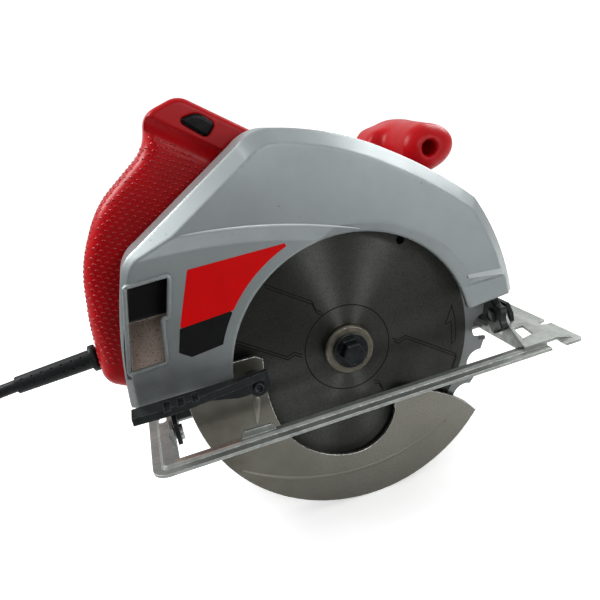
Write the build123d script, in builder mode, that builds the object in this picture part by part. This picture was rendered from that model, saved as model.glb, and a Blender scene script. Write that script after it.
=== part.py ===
from build123d import *
import math
import os

os.makedirs("parts", exist_ok=True)

# A right-hand circular saw with a stamped foot, in millimetres.
# X points forward, Y to the left (the motor side) and Z up.
# The origin is on the sole, under the arbor, in the middle plane of the blade.

# Blade and arbor
BLADE_RADIUS = 92.1
BLADE_BODY = 1.2
KERF = 1.8
TOOTH_COUNT = 24
TOOTH_DEPTH = 9.5
TOOTH_PHASE = -12.8
TIP_LENGTH = 4.2
TIP_WIDTH = 2.2
ARBOR_HEIGHT = 26.5
PIN_HOLE_PLACE = 0.76
PIN_HOLE_ANGLE = 52.3
PIN_HOLE_RADIUS = 2.6
ARBOR_RADIUS = 7.9
FLANGE_RADIUS = 15.0
FLANGE_THICKNESS = 4.4
WASHER_RADIUS = 10.5
WASHER_THICKNESS = 2.0
BOLT_FLATS = 13.0
BOLT_HEAD = 6.8
BOLT_SHANK_RADIUS = 3.95
BOLT_LENGTH = 20.0
RUNNING_FIT = 0.06
SEAT_GAP = 0.1

# Lower guard
GUARD_CLEARANCE = 5.6
GUARD_SHEET = 2.0
GUARD_HALF_WIDTH = 8.0
GUARD_NOSE_ANGLE = -41.2
GUARD_TAIL_ANGLE = 166.0
GUARD_FAR_FACE = 6.5
HUB_RADIUS = 18.0
DISH_RADIUS = 25.5
DISH_STEP = 1.3
SWING_GAP = 1.3

# Upper guard
GUARD_INNER_NEAR = 9.3
GUARD_INNER_FAR = 9.4
PANEL_WALL = 3.0
CROWN_RISE = 4.2
BACK_WALL = 4.0
RIM_BEVEL = 8.0
HOOD_WALL = 3.5
GUARD_BOTTOM = 33.5
NOSE_BOTTOM = 33.4
LOBE_RADIUS = 25.2
ARCH_CENTRE = (2.0, 24.0)
ARCH_RADIUS = 73.0
ARCH_BEVEL = 5.8

# Motor and gears
GEAR_MODULE = 1.25
PINION_TEETH = 8
GEAR_TEETH = 32
GEAR_WIDTH = 9.0
BACKLASH = 0.3
MOTOR_BACK = 3.0
MOTOR_RADIUS = 42.0
MOTOR_WALL = 3.0
MOTOR_LENGTH = 86.0
END_CAP_LENGTH = 22.0
GEAR_CASE_DEPTH = 28.6
CASE_SCREWS = [(-33.0, 62.0), (-20.0, 84.0), (14.0, 84.0), (28.0, 62.0)]
CASE_SCREW_RADIUS = 2.0
CASE_SCREW_REACH = 8.0

# Handle
HANDLE_MIDDLE = 48.0
HANDLE_HALF_WIDTH = 17.5
HANDLE_WALL = 3.0
HANDLE_ROUND = 9.0

# Foot and adjusters, set out from the lower guard
GUSSET_GAP = 1.8
PANEL_LENGTH = 22.3
PANEL_SLOPE = 11.8
FRONT_LIP_WIDTH = 3.2
OPENING_GAP = 11.8
REAR_BAR = 15.0
FOOT_NEAR = -32.3
FOOT_FAR = 100.0
FOOT_SHEET = 1.8
PANEL_TOP = 5.2
BAR_TOP = 3.4
LIP_WIDTH = 4.8
BAR_INNER = -22.5
OPENING_FAR = 22.0
KNOB_RADIUS = 12.5
KNOB_THICKNESS = 4.6
BRACKET_SHEET = 2.5
PIVOT_AHEAD = 0.3
PIVOT_Z = 44.0
PIN_RADIUS = 3.0
BEVEL_Y = -2.0
BEVEL_Z = 7.5
BEVEL_LOCK = 12.0
CLAMP_BACK = 74.0
DEPTH_WIDTH = 14.0
DEPTH_REST = -1.3

# Cord
CORD_RADIUS = 3.8

# Derived places
guard_radius = BLADE_RADIUS + GUARD_CLEARANCE
GUSSET_REAR = guard_radius + GUSSET_GAP
PANEL_BEND = GUSSET_REAR + PANEL_LENGTH
FRONT_LIP = PANEL_BEND + PANEL_SLOPE
FOOT_FRONT = FRONT_LIP + FRONT_LIP_WIDTH
OPENING_REAR = -guard_radius - OPENING_GAP
FOOT_REAR = OPENING_REAR - REAR_BAR
PIVOT_X = guard_radius + PIVOT_AHEAD
DEPTH_RADIUS = PIVOT_X + CLAMP_BACK
pocket_radius = guard_radius + SWING_GAP
panel_face = GUARD_INNER_NEAR + PANEL_WALL
crown_face = panel_face + CROWN_RISE
back_face = GUARD_INNER_FAR + BACK_WALL
gear_distance = GEAR_MODULE * (PINION_TEETH + GEAR_TEETH) / 2
motor_z = ARBOR_HEIGHT + math.sqrt(gear_distance**2 - MOTOR_BACK**2)
motor_x = -MOTOR_BACK
case_back = back_face + GEAR_CASE_DEPTH
motor_end = case_back + MOTOR_LENGTH


def side(y):
    """Sketch plane square to Y at this y; sketches on it are extruded towards the blade side, -Y."""
    return Plane.XZ.offset(-y)


def around_arbor(radius, angle):
    """Point in the side plane at this radius from the arbor, with the angle up from forward."""
    turn = math.radians(angle)
    return (radius * math.cos(turn), ARBOR_HEIGHT + radius * math.sin(turn))


def save(piece, name):
    """Label a finished piece and write it under its name."""
    piece.part.label = name
    export_step(piece.part, f"parts/{name}.step")


# Saw blade: a toothed disc, with a brazed tip let into the front of each tooth
tooth_pitch = 360 / TOOTH_COUNT
flank_end = 0.35 * tooth_pitch
gullet_middle = 0.72 * tooth_pitch
with BuildPart() as saw_blade:
    with BuildSketch(side(BLADE_BODY / 2)):
        with BuildLine():
            for tooth in range(TOOTH_COUNT):
                tip = TOOTH_PHASE - tooth * tooth_pitch
                back = around_arbor(BLADE_RADIUS - 2.0, tip - flank_end)
                gullet = around_arbor(BLADE_RADIUS - TOOTH_DEPTH, tip - gullet_middle)
                base = around_arbor(BLADE_RADIUS - 0.8 * TOOTH_DEPTH, tip - 0.98 * tooth_pitch)
                Line(around_arbor(BLADE_RADIUS, tip), back)
                ThreePointArc(back, gullet, base)
                Line(base, around_arbor(BLADE_RADIUS, tip - tooth_pitch))
        make_face()
        with Locations((0, ARBOR_HEIGHT)):
            Circle(ARBOR_RADIUS + SEAT_GAP, mode=Mode.SUBTRACT)
        with Locations(around_arbor(PIN_HOLE_PLACE * BLADE_RADIUS, PIN_HOLE_ANGLE)):
            Circle(PIN_HOLE_RADIUS, mode=Mode.SUBTRACT)
    extrude(amount=BLADE_BODY)
    with BuildSketch(side(KERF)):
        for tooth in range(TOOTH_COUNT):
            tip = TOOTH_PHASE - tooth * tooth_pitch
            middle = around_arbor(BLADE_RADIUS - TIP_LENGTH / 2, tip - 0.55)
            with Locations(Location((middle[0], middle[1]), tip)):
                Rectangle(TIP_LENGTH + 2 * SEAT_GAP, TIP_WIDTH + 2 * SEAT_GAP)
    extrude(amount=2 * KERF, mode=Mode.SUBTRACT)
save(saw_blade, "saw_blade")

with BuildPart() as carbide_tips:
    with BuildSketch(side(KERF / 2)):
        for tooth in range(TOOTH_COUNT):
            tip = TOOTH_PHASE - tooth * tooth_pitch
            middle = around_arbor(BLADE_RADIUS - TIP_LENGTH / 2, tip - 0.55)
            with Locations(Location((middle[0], middle[1]), tip)):
                Rectangle(TIP_LENGTH, TIP_WIDTH)
    extrude(amount=KERF)
save(carbide_tips, "carbide_tips")

# Arbor stack, from the bolt on the near side to the gear on the far side
flange_near = BLADE_BODY / 2
washer_near = flange_near + FLANGE_THICKNESS
head_near = washer_near + WASHER_THICKNESS
with BuildPart() as outer_flange:
    with BuildSketch(side(-flange_near)):
        with Locations((0, ARBOR_HEIGHT)):
            Circle(FLANGE_RADIUS)
            Circle(BOLT_SHANK_RADIUS + 0.3, mode=Mode.SUBTRACT)
    extrude(amount=FLANGE_THICKNESS)
    chamfer(outer_flange.faces().sort_by(Axis.Y)[0].edges().sort_by(SortBy.LENGTH)[-1], 1.0)
save(outer_flange, "outer_flange")

with BuildPart() as arbor_bolt:
    with BuildSketch(side(-head_near)):
        with Locations((0, ARBOR_HEIGHT)):
            RegularPolygon(BOLT_FLATS / 2, 6, major_radius=False)
    extrude(amount=BOLT_HEAD)
    chamfer(arbor_bolt.faces().sort_by(Axis.Y)[0].edges(), 0.8)
    with BuildSketch(side(-washer_near)):
        with Locations((0, ARBOR_HEIGHT)):
            Circle(WASHER_RADIUS)
    extrude(amount=WASHER_THICKNESS)
    with BuildSketch(side(-washer_near)):
        with Locations((0, ARBOR_HEIGHT)):
            Circle(BOLT_SHANK_RADIUS)
    extrude(amount=-BOLT_LENGTH)
save(arbor_bolt, "arbor_bolt")

with BuildPart() as inner_flange:
    with BuildSketch(side(flange_near + FLANGE_THICKNESS)):
        with Locations((0, ARBOR_HEIGHT)):
            Circle(FLANGE_RADIUS)
            Circle(ARBOR_RADIUS + SEAT_GAP, mode=Mode.SUBTRACT)
    extrude(amount=FLANGE_THICKNESS)
    chamfer(inner_flange.faces().sort_by(Axis.Y)[-1].edges().sort_by(SortBy.LENGTH)[-1], 1.0)
save(inner_flange, "inner_flange")

bearing_width = 12.0
bearing_bore = 8.5
bearing_outer = 20.0
gear_near = back_face + bearing_width + 2.4
gear_far = gear_near + GEAR_WIDTH
bush_radius = 8.0
bush_length = 7.0
spindle_tail_radius = 5.0
with BuildPart() as arbor_spindle:
    with BuildSketch(side(flange_near + FLANGE_THICKNESS)):
        with Locations((0, ARBOR_HEIGHT)):
            Circle(ARBOR_RADIUS)
    extrude(amount=FLANGE_THICKNESS + BLADE_BODY)
    with BuildSketch(side(gear_far)):
        with Locations((0, ARBOR_HEIGHT)):
            Circle(bearing_bore)
    extrude(amount=gear_far - flange_near - FLANGE_THICKNESS)
    with BuildSketch(side(gear_far)):
        with Locations((0, ARBOR_HEIGHT)):
            Circle(spindle_tail_radius)
    extrude(amount=-bush_length)
    with BuildSketch(side(-flange_near)):
        with Locations((0, ARBOR_HEIGHT)):
            Circle(BOLT_SHANK_RADIUS + SEAT_GAP)
    extrude(amount=-BOLT_LENGTH, mode=Mode.SUBTRACT)
save(arbor_spindle, "arbor_spindle")


def involute_flank(base_radius, outer_radius, steps):
    """Radius and turned angle along an involute of the base circle, out to the outer radius."""
    flank = []
    for step in range(steps + 1):
        radius = base_radius + (outer_radius - base_radius) * step / steps
        pressure = math.acos(min(1.0, base_radius / radius))
        flank.append((radius, math.tan(pressure) - pressure))
    return flank


def gear_outline(teeth, addendum, phase, centre):
    """Points of a spur gear round this centre: involute flanks thinned by half the backlash."""
    pitch_radius = GEAR_MODULE * teeth / 2
    pressure = math.radians(20)
    base_radius = pitch_radius * math.cos(pressure)
    root_radius = pitch_radius - 1.2 * GEAR_MODULE
    start = max(base_radius, root_radius)
    half = math.pi / (2 * teeth) - BACKLASH / (2 * pitch_radius) + math.tan(pressure) - pressure
    flank = involute_flank(start, pitch_radius + addendum * GEAR_MODULE, 4)
    points = []
    for tooth in range(teeth):
        middle = math.radians(phase) + 2 * math.pi * tooth / teeth
        points.append((root_radius, middle - half))
        points += [(radius, middle - half + turned) for radius, turned in flank]
        points += [(radius, middle + half - turned) for radius, turned in reversed(flank)]
        points.append((root_radius, middle + half))
    return [(centre[0] + r * math.cos(turn), centre[1] + r * math.sin(turn)) for r, turn in points]


mesh_angle = math.degrees(math.atan2(motor_z - ARBOR_HEIGHT, motor_x))
with BuildPart() as drive_gear:
    with BuildSketch(side(gear_far)):
        with BuildLine():
            Polyline(gear_outline(GEAR_TEETH, 0.8, mesh_angle, (0, ARBOR_HEIGHT)), close=True)
        make_face()
        with Locations((0, ARBOR_HEIGHT)):
            Circle(bearing_bore + SEAT_GAP, mode=Mode.SUBTRACT)
    extrude(amount=GEAR_WIDTH)
save(drive_gear, "drive_gear")

shaft_radius = 6.0
pinion_bore = 2.2
pinion_phase = mesh_angle + 180 + 180 / PINION_TEETH
with BuildPart() as pinion:
    with BuildSketch(side(gear_far + 1)):
        with BuildLine():
            Polyline(gear_outline(PINION_TEETH, 0.8, pinion_phase, (motor_x, motor_z)), close=True)
        make_face()
        with Locations((motor_x, motor_z)):
            Circle(pinion_bore + SEAT_GAP / 2, mode=Mode.SUBTRACT)
    extrude(amount=GEAR_WIDTH + 2)
save(pinion, "pinion")

# Upper guard: a cast hood round the blade, with a raised crown, a rear chip chute and an arch
# Rim points are (distance outside the blade pocket, angle up from forward)
RIM_REAR_FOOT = (27.7, 175.7)
RIM_REAR_MIDDLE = (31.1, 157.4)
RIM_REAR_TOP = (36.8, 146.0)
RIM_SHOULDER = (38.1, 142.2)
RIM_SLOPE_START = (36.0, 138.6)
RIM_SLOPE_END = (34.2, 107.5)
RIM_PEAK = (36.3, 103.0)
RIM_CREST_START = (34.6, 98.6)
RIM_CREST_MIDDLE = (24.9, 85.4)
RIM_CREST_END = (16.3, 69.8)
RIM_BROW_MIDDLE = (12.7, 55.0)
RIM_CORNER = (14.0, 38.6)
RIM_FRONT_MIDDLE = (9.5, 21.4)
RIM_FRONT_END = (7.3, 3.0)
CREASE_CENTRE = (-97.5, -197.7)
CREASE_RADIUS = 316.0
CREASE_BEVEL = 8.5
CREASE_START = 69.3
CREASE_SWEEP = 45.0
NOSE_LINE = 50.0
NOSE_REAR = 74.0
NOSE_STEP = 3.0
NOSE_FACE = 13.5
WINDOW = [(-122.0, 53.0), (-111.5, 98.9), (-88.2, 99.6), (-94.4, 78.0), (-97.6, 78.0), (-101.8, 54.0)]
WINDOW_ROUND = 2.5
CHUTE_WALL = 3.0
CHUTE_MOUTH = 88.0
RAMP_TOP = 74.0
RAMP_BOTTOM = 51.0
CLAMP_BOSS_RADIUS = 7.0
CLAMP_BOSS_LENGTH = 2.4


def rim(point, inset):
    """Rim point in the side plane, moved in by the inset."""
    return around_arbor(pocket_radius + point[0] - inset, point[1])


def rim_outline(inset):
    """Lines of the hood's outline, moved in by the inset and carried straight down at both feet."""
    rear_foot = rim(RIM_REAR_FOOT, inset)
    front_foot = rim(RIM_FRONT_END, inset)
    ThreePointArc(rear_foot, rim(RIM_REAR_MIDDLE, inset), rim(RIM_REAR_TOP, inset))
    ThreePointArc(rim(RIM_REAR_TOP, inset), rim(RIM_SHOULDER, inset), rim(RIM_SLOPE_START, inset))
    Line(rim(RIM_SLOPE_START, inset), rim(RIM_SLOPE_END, inset))
    ThreePointArc(rim(RIM_SLOPE_END, inset), rim(RIM_PEAK, inset), rim(RIM_CREST_START, inset))
    ThreePointArc(rim(RIM_CREST_START, inset), rim(RIM_CREST_MIDDLE, inset), rim(RIM_CREST_END, inset))
    ThreePointArc(rim(RIM_CREST_END, inset), rim(RIM_BROW_MIDDLE, inset), rim(RIM_CORNER, inset))
    ThreePointArc(rim(RIM_CORNER, inset), rim(RIM_FRONT_MIDDLE, inset), front_foot)
    Polyline(front_foot, (front_foot[0], blank_bottom), (rear_foot[0], blank_bottom), rear_foot)


blank_bottom = GUARD_BOTTOM - 2 * RIM_BEVEL
hood_rear = rim(RIM_REAR_FOOT, 0)[0]
hood_front = rim(RIM_FRONT_END, 0)[0]
bevel_start = crown_face - RIM_BEVEL
pocket_width = GUARD_INNER_FAR + GUARD_INNER_NEAR

# The hollow of the hood: blade pocket in front, and a chute behind it with a sloping floor
with BuildPart() as hood_hollow:
    with BuildSketch(side(GUARD_INNER_FAR)):
        with BuildLine():
            rim_outline(HOOD_WALL)
        make_face()
    extrude(amount=pocket_width)
    with BuildSketch(Plane.YZ.offset(hood_rear - RIM_BEVEL)):
        with BuildLine():
            Polyline(
                (GUARD_INNER_FAR, 0),
                (GUARD_INNER_FAR, RAMP_TOP),
                (-GUARD_INNER_NEAR, RAMP_BOTTOM),
                (-GUARD_INNER_NEAR, 0),
                close=True,
            )
        make_face()
    extrude(amount=-hood_rear, mode=Mode.SUBTRACT)
    with BuildSketch(side(GUARD_INNER_FAR)):
        with Locations((0, ARBOR_HEIGHT)):
            Circle(pocket_radius + CHUTE_WALL)
        with Locations((0, CHUTE_MOUTH)):
            Rectangle(
                4 * pocket_radius,
                2 * pocket_radius,
                align=(Align.CENTER, Align.MIN),
                mode=Mode.SUBTRACT,
            )
        Rectangle(2 * pocket_radius, 4 * pocket_radius, align=(Align.MIN, Align.CENTER), mode=Mode.SUBTRACT)
    extrude(amount=pocket_width, mode=Mode.SUBTRACT)
    with BuildSketch(side(GUARD_INNER_FAR)):
        with Locations((0, ARBOR_HEIGHT)):
            Circle(pocket_radius)
    extrude(amount=pocket_width)

clamp_angle = math.radians(DEPTH_REST)
clamp_x = PIVOT_X - DEPTH_RADIUS * math.cos(clamp_angle)
clamp_z = PIVOT_Z + DEPTH_RADIUS * math.sin(clamp_angle)
crease_turn = math.radians(CREASE_START)
crease_plane = Plane(
    (CREASE_CENTRE[0], 0, CREASE_CENTRE[1]),
    x_dir=(math.cos(crease_turn), 0, math.sin(crease_turn)),
    z_dir=(-math.sin(crease_turn), 0, math.cos(crease_turn)),
)
with BuildPart() as upper_guard:
    with BuildSketch(side(back_face)):
        with BuildLine():
            rim_outline(0)
        make_face()
    extrude(amount=back_face + bevel_start)
    with BuildSketch(side(-bevel_start)):
        with BuildLine():
            rim_outline(0)
        make_face()
    with BuildSketch(side(-crown_face)):
        with BuildLine():
            rim_outline(RIM_BEVEL)
        make_face()
    loft(ruled=True)
    # Trim the foot of the blank, level behind the arch and a little lower at the nose
    with BuildSketch(side(back_face)):
        with BuildLine():
            Polyline(
                (hood_rear - RIM_BEVEL, GUARD_BOTTOM),
                (0, GUARD_BOTTOM),
                (NOSE_REAR, NOSE_BOTTOM),
                (hood_front + RIM_BEVEL, NOSE_BOTTOM + NOSE_STEP),
                (hood_front + RIM_BEVEL, 0),
                (hood_rear - RIM_BEVEL, 0),
                close=True,
            )
        make_face()
    extrude(amount=back_face + crown_face, mode=Mode.SUBTRACT)
    # Lower rear panel, set back from the crown behind a bevel that follows a wide arc
    with BuildSketch(crease_plane):
        with BuildLine():
            Polyline(
                (CREASE_RADIUS / 2, -panel_face),
                (CREASE_RADIUS - CREASE_BEVEL, -panel_face),
                (CREASE_RADIUS, -crown_face),
                (CREASE_RADIUS, -crown_face - 1),
                (CREASE_RADIUS / 2, -crown_face - 1),
                close=True,
            )
        make_face()
    revolve(
        axis=Axis((CREASE_CENTRE[0], 0, CREASE_CENTRE[1]), (0, -1, 0)),
        revolution_arc=CREASE_SWEEP,
        mode=Mode.SUBTRACT,
    )
    # Nose, set back below a short bevel
    with BuildSketch(Plane.YZ.offset(NOSE_REAR)):
        with BuildLine():
            Polyline(
                (-NOSE_FACE, 0),
                (-NOSE_FACE, NOSE_LINE - NOSE_STEP),
                (-crown_face, NOSE_LINE),
                (-crown_face - 1, NOSE_LINE),
                (-crown_face - 1, 0),
                close=True,
            )
        make_face()
    extrude(amount=hood_front, mode=Mode.SUBTRACT)
    # Arch that shows the blade, opened out to the crown
    with BuildSketch(side(-GUARD_INNER_NEAR)):
        with Locations(ARCH_CENTRE):
            Circle(ARCH_RADIUS)
    extrude(amount=PANEL_WALL, mode=Mode.SUBTRACT)
    with BuildSketch(side(-panel_face)):
        with Locations(ARCH_CENTRE):
            Circle(ARCH_RADIUS)
    with BuildSketch(side(-crown_face)):
        with Locations(ARCH_CENTRE):
            Circle(ARCH_RADIUS + ARCH_BEVEL)
    loft(mode=Mode.SUBTRACT)
    add(hood_hollow.part, mode=Mode.SUBTRACT)
    # Window of the chip chute
    with BuildSketch(side(-GUARD_INNER_NEAR)):
        with BuildLine():
            FilletPolyline(*WINDOW, radius=WINDOW_ROUND, close=True)
        make_face()
    extrude(amount=crown_face, mode=Mode.SUBTRACT)
    # Lobe round the arbor on the back wall, and the boss under the depth clamp
    with BuildSketch(side(back_face)):
        with Locations((0, ARBOR_HEIGHT)):
            Circle(LOBE_RADIUS)
    extrude(amount=BACK_WALL)
    with BuildSketch(side(back_face + CLAMP_BOSS_LENGTH)):
        with Locations((clamp_x, clamp_z)):
            Circle(CLAMP_BOSS_RADIUS)
    extrude(amount=CLAMP_BOSS_LENGTH + BACK_WALL)
    with BuildSketch(side(back_face + CLAMP_BOSS_LENGTH)):
        with Locations((0, ARBOR_HEIGHT)):
            Circle(bearing_outer + 1 + SEAT_GAP)
        with Locations((clamp_x, clamp_z)):
            Circle(PIN_RADIUS + SEAT_GAP)
        with Locations(*CASE_SCREWS):
            Circle(CASE_SCREW_RADIUS + SEAT_GAP)
    extrude(amount=CLAMP_BOSS_LENGTH + BACK_WALL, mode=Mode.SUBTRACT)
save(upper_guard, "upper_guard")

# Bearing retainer: the hub that the lower guard swings on, with a groove for its snap ring
hub_end = 1.3
dish_near = GUARD_FAR_FACE - GUARD_SHEET - DISH_STEP
dish_far = dish_near + GUARD_SHEET
ring_thickness = 1.0
ring_far = dish_near - 0.3
ring_groove = 1.0
with BuildPart() as bearing_retainer:
    with BuildSketch(side(back_face)):
        with Locations((0, ARBOR_HEIGHT)):
            Circle(bearing_outer + 1)
    extrude(amount=BACK_WALL)
    with BuildSketch(side(GUARD_INNER_FAR)):
        with Locations((0, ARBOR_HEIGHT)):
            Circle(HUB_RADIUS)
    extrude(amount=GUARD_INNER_FAR - hub_end)
    with BuildSketch(side(back_face)):
        with Locations((0, ARBOR_HEIGHT)):
            Circle(bearing_bore + 0.7)
    extrude(amount=back_face, mode=Mode.SUBTRACT)
    with BuildSketch(side(flange_near + FLANGE_THICKNESS + 0.8)):
        with Locations((0, ARBOR_HEIGHT)):
            Circle(FLANGE_RADIUS + 0.5)
    extrude(amount=FLANGE_THICKNESS + 1, mode=Mode.SUBTRACT)
    with BuildSketch(side(ring_far + SEAT_GAP)):
        with Locations((0, ARBOR_HEIGHT)):
            Circle(HUB_RADIUS + 1)
            Circle(HUB_RADIUS - ring_groove, mode=Mode.SUBTRACT)
    extrude(amount=ring_thickness + 2 * SEAT_GAP, mode=Mode.SUBTRACT)
save(bearing_retainer, "bearing_retainer")

with BuildPart() as guard_snap_ring:
    with BuildSketch(side(ring_far)):
        with Locations((0, ARBOR_HEIGHT)):
            Circle(HUB_RADIUS + 2.2)
            Circle(HUB_RADIUS - ring_groove + SEAT_GAP, mode=Mode.SUBTRACT)
        with Locations((0, ARBOR_HEIGHT + HUB_RADIUS)):
            Rectangle(9, 8, mode=Mode.SUBTRACT)
    extrude(amount=ring_thickness)
save(guard_snap_ring, "guard_snap_ring")

with BuildPart() as spindle_bearing:
    with BuildSketch(side(back_face + bearing_width)):
        with Locations((0, ARBOR_HEIGHT)):
            Circle(bearing_outer)
            Circle(bearing_bore + RUNNING_FIT, mode=Mode.SUBTRACT)
    extrude(amount=bearing_width)
    # Open races on both faces, with the shields set back
    with BuildSketch(side(back_face + bearing_width), side(back_face + 0.6)):
        with Locations((0, ARBOR_HEIGHT)):
            Circle(bearing_outer - 3)
            Circle(bearing_bore + 3, mode=Mode.SUBTRACT)
    extrude(amount=0.6, mode=Mode.SUBTRACT)
save(spindle_bearing, "spindle_bearing")

# Gear case: one casting that carries the spindle bearing, the gears and the front pivot lug
plate_thickness = 6.0
plate_near = gear_far + 1.6
plate_radius = MOTOR_RADIUS - MOTOR_WALL - SEAT_GAP
gear_room = 22.2
pinion_room = 9.0
lug_radius = 7.0
lug_near = 20.0
lug_far = 37.0
lock_pin_radius = 1.0
lock_pin_y = back_face + bearing_width + 1.2
with BuildPart() as gear_case:
    with BuildSketch(side(case_back)):
        with Locations((0, ARBOR_HEIGHT)):
            Circle(LOBE_RADIUS)
        with Locations((motor_x, motor_z)):
            Circle(MOTOR_RADIUS)
        make_hull()
    extrude(amount=GEAR_CASE_DEPTH)
    with BuildSketch(side(lug_far)):
        with Locations((PIVOT_X, PIVOT_Z)):
            Circle(lug_radius)
        with Locations((motor_x + MOTOR_RADIUS / 2, motor_z)):
            Circle(2 * lug_radius)
        make_hull()
    extrude(amount=lug_far - lug_near)
    with BuildSketch(side(back_face)):
        with Locations((0, ARBOR_HEIGHT)):
            Circle(bearing_outer + SEAT_GAP)
    extrude(amount=-bearing_width, mode=Mode.SUBTRACT)
    with BuildSketch(side(case_back)):
        with Locations((0, ARBOR_HEIGHT)):
            Circle(bearing_outer - 3)
    extrude(amount=GEAR_CASE_DEPTH, mode=Mode.SUBTRACT)
    with BuildSketch(side(case_back)):
        with Locations((0, ARBOR_HEIGHT)):
            Circle(gear_room)
        with Locations((motor_x, motor_z)):
            Circle(pinion_room)
        make_hull()
    extrude(amount=case_back - gear_near + 1, mode=Mode.SUBTRACT)
    with BuildSketch(side(case_back)):
        with Locations((motor_x, motor_z)):
            Circle(plate_radius + SEAT_GAP)
    extrude(amount=case_back - plate_near, mode=Mode.SUBTRACT)
    with BuildSketch(side(lug_far)):
        with Locations((PIVOT_X, PIVOT_Z)):
            Circle(PIN_RADIUS + RUNNING_FIT)
    extrude(amount=lug_far - lug_near, mode=Mode.SUBTRACT)
    with BuildSketch(Plane.YZ):
        with Locations((lock_pin_y, ARBOR_HEIGHT)):
            Circle(lock_pin_radius + RUNNING_FIT)
    extrude(amount=MOTOR_RADIUS, mode=Mode.SUBTRACT)
    with BuildSketch(side(back_face)):
        with Locations(*CASE_SCREWS):
            Circle(CASE_SCREW_RADIUS + SEAT_GAP)
    extrude(amount=-CASE_SCREW_REACH, mode=Mode.SUBTRACT)
save(gear_case, "gear_case")

# Screws that draw the gear case to the hood, seen from the blade side inside the arch
with BuildPart() as gear_case_screws:
    with BuildSketch(side(GUARD_INNER_FAR)):
        with Locations(*CASE_SCREWS):
            Circle(2 * CASE_SCREW_RADIUS)
    extrude(amount=1.6)
    with BuildSketch(side(GUARD_INNER_FAR)):
        with Locations(*CASE_SCREWS):
            Circle(CASE_SCREW_RADIUS)
    extrude(amount=-BACK_WALL - CASE_SCREW_REACH)
save(gear_case_screws, "gear_case_screws")

# Plate between gears and motor, with the spindle's rear bush and the front armature bearing
front_bearing_radius = 13.0
rear_bearing_radius = 11.0
rear_journal = 5.0
front_bearing_near = plate_near + 1.0
plate_far = plate_near + plate_thickness
with BuildPart() as gear_plate:
    with BuildSketch(side(plate_far)):
        with Locations((motor_x, motor_z)):
            Circle(plate_radius)
        with Locations((0, ARBOR_HEIGHT)):
            Circle(bush_radius + SEAT_GAP / 2, mode=Mode.SUBTRACT)
        with Locations((motor_x, motor_z)):
            Circle(front_bearing_radius - 3, mode=Mode.SUBTRACT)
    extrude(amount=plate_thickness)
    with BuildSketch(side(plate_far)):
        with Locations((motor_x, motor_z)):
            Circle(front_bearing_radius + SEAT_GAP / 2)
    extrude(amount=plate_far - front_bearing_near, mode=Mode.SUBTRACT)
save(gear_plate, "gear_plate")

with BuildPart() as spindle_bush:
    with BuildSketch(side(plate_far)):
        with Locations((0, ARBOR_HEIGHT)):
            Circle(bush_radius)
            Circle(spindle_tail_radius + RUNNING_FIT, mode=Mode.SUBTRACT)
    extrude(amount=plate_thickness)
save(spindle_bush, "spindle_bush")

rear_bearing_far = motor_end + END_CAP_LENGTH - 6
rear_bearing_width = 8.0
with BuildPart() as armature_bearings:
    with BuildSketch(side(plate_far)):
        with Locations((motor_x, motor_z)):
            Circle(front_bearing_radius)
            Circle(shaft_radius + RUNNING_FIT, mode=Mode.SUBTRACT)
    extrude(amount=plate_far - front_bearing_near)
    with BuildSketch(side(rear_bearing_far)):
        with Locations((motor_x, motor_z)):
            Circle(rear_bearing_radius)
            Circle(rear_journal + RUNNING_FIT, mode=Mode.SUBTRACT)
    extrude(amount=rear_bearing_width)
save(armature_bearings, "armature_bearings")

# Armature: shaft, core, windings, commutator and fan turn together
core_near = 62.0
core_far = 104.0
core_radius = 21.0
SLOT_COUNT = 12
slot_width = 3.0
slot_floor = 15.0
commutator_near = 111.0
commutator_far = 123.0
commutator_radius = 12.0
journal_start = rear_bearing_far - rear_bearing_width - 1
with BuildPart() as armature_shaft:
    with BuildSketch(side(journal_start)):
        with Locations((motor_x, motor_z)):
            Circle(shaft_radius)
    extrude(amount=journal_start - front_bearing_near)
    with BuildSketch(side(front_bearing_near)):
        with Locations((motor_x, motor_z)):
            Circle(pinion_bore)
    extrude(amount=front_bearing_near - gear_far + GEAR_WIDTH + 1)
    with BuildSketch(side(rear_bearing_far + 1)):
        with Locations((motor_x, motor_z)):
            Circle(rear_journal)
    extrude(amount=rear_bearing_far + 1 - journal_start)
save(armature_shaft, "armature_shaft")

with BuildPart() as armature_core:
    with BuildSketch(side(core_far)):
        with Locations((motor_x, motor_z)):
            Circle(core_radius)
            Circle(shaft_radius + SEAT_GAP / 2, mode=Mode.SUBTRACT)
            with PolarLocations(slot_floor, SLOT_COUNT):
                Rectangle(core_radius, slot_width, align=(Align.MIN, Align.CENTER), mode=Mode.SUBTRACT)
    extrude(amount=core_far - core_near)
save(armature_core, "armature_core")

winding_overhang = 4.5
with BuildPart() as armature_windings:
    with BuildSketch(side(core_far + winding_overhang), side(core_near)):
        with Locations((motor_x, motor_z)):
            Circle(core_radius - 1)
            Circle(shaft_radius + 2, mode=Mode.SUBTRACT)
    extrude(amount=winding_overhang)
    with BuildSketch(side(core_far + winding_overhang)):
        with Locations((motor_x, motor_z)):
            with PolarLocations(slot_floor + SEAT_GAP, SLOT_COUNT):
                Rectangle(
                    core_radius - slot_floor - 1,
                    slot_width - 2 * SEAT_GAP,
                    align=(Align.MIN, Align.CENTER),
                )
    extrude(amount=core_far - core_near + 2 * winding_overhang)
save(armature_windings, "armature_windings")

with BuildPart() as commutator:
    with BuildSketch(side(commutator_far)):
        with Locations((motor_x, motor_z)):
            Circle(commutator_radius)
            Circle(shaft_radius + SEAT_GAP / 2, mode=Mode.SUBTRACT)
            with PolarLocations(commutator_radius, 2 * SLOT_COUNT):
                Rectangle(2, 0.5, mode=Mode.SUBTRACT)
    extrude(amount=commutator_far - commutator_near)
save(commutator, "commutator")

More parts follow.
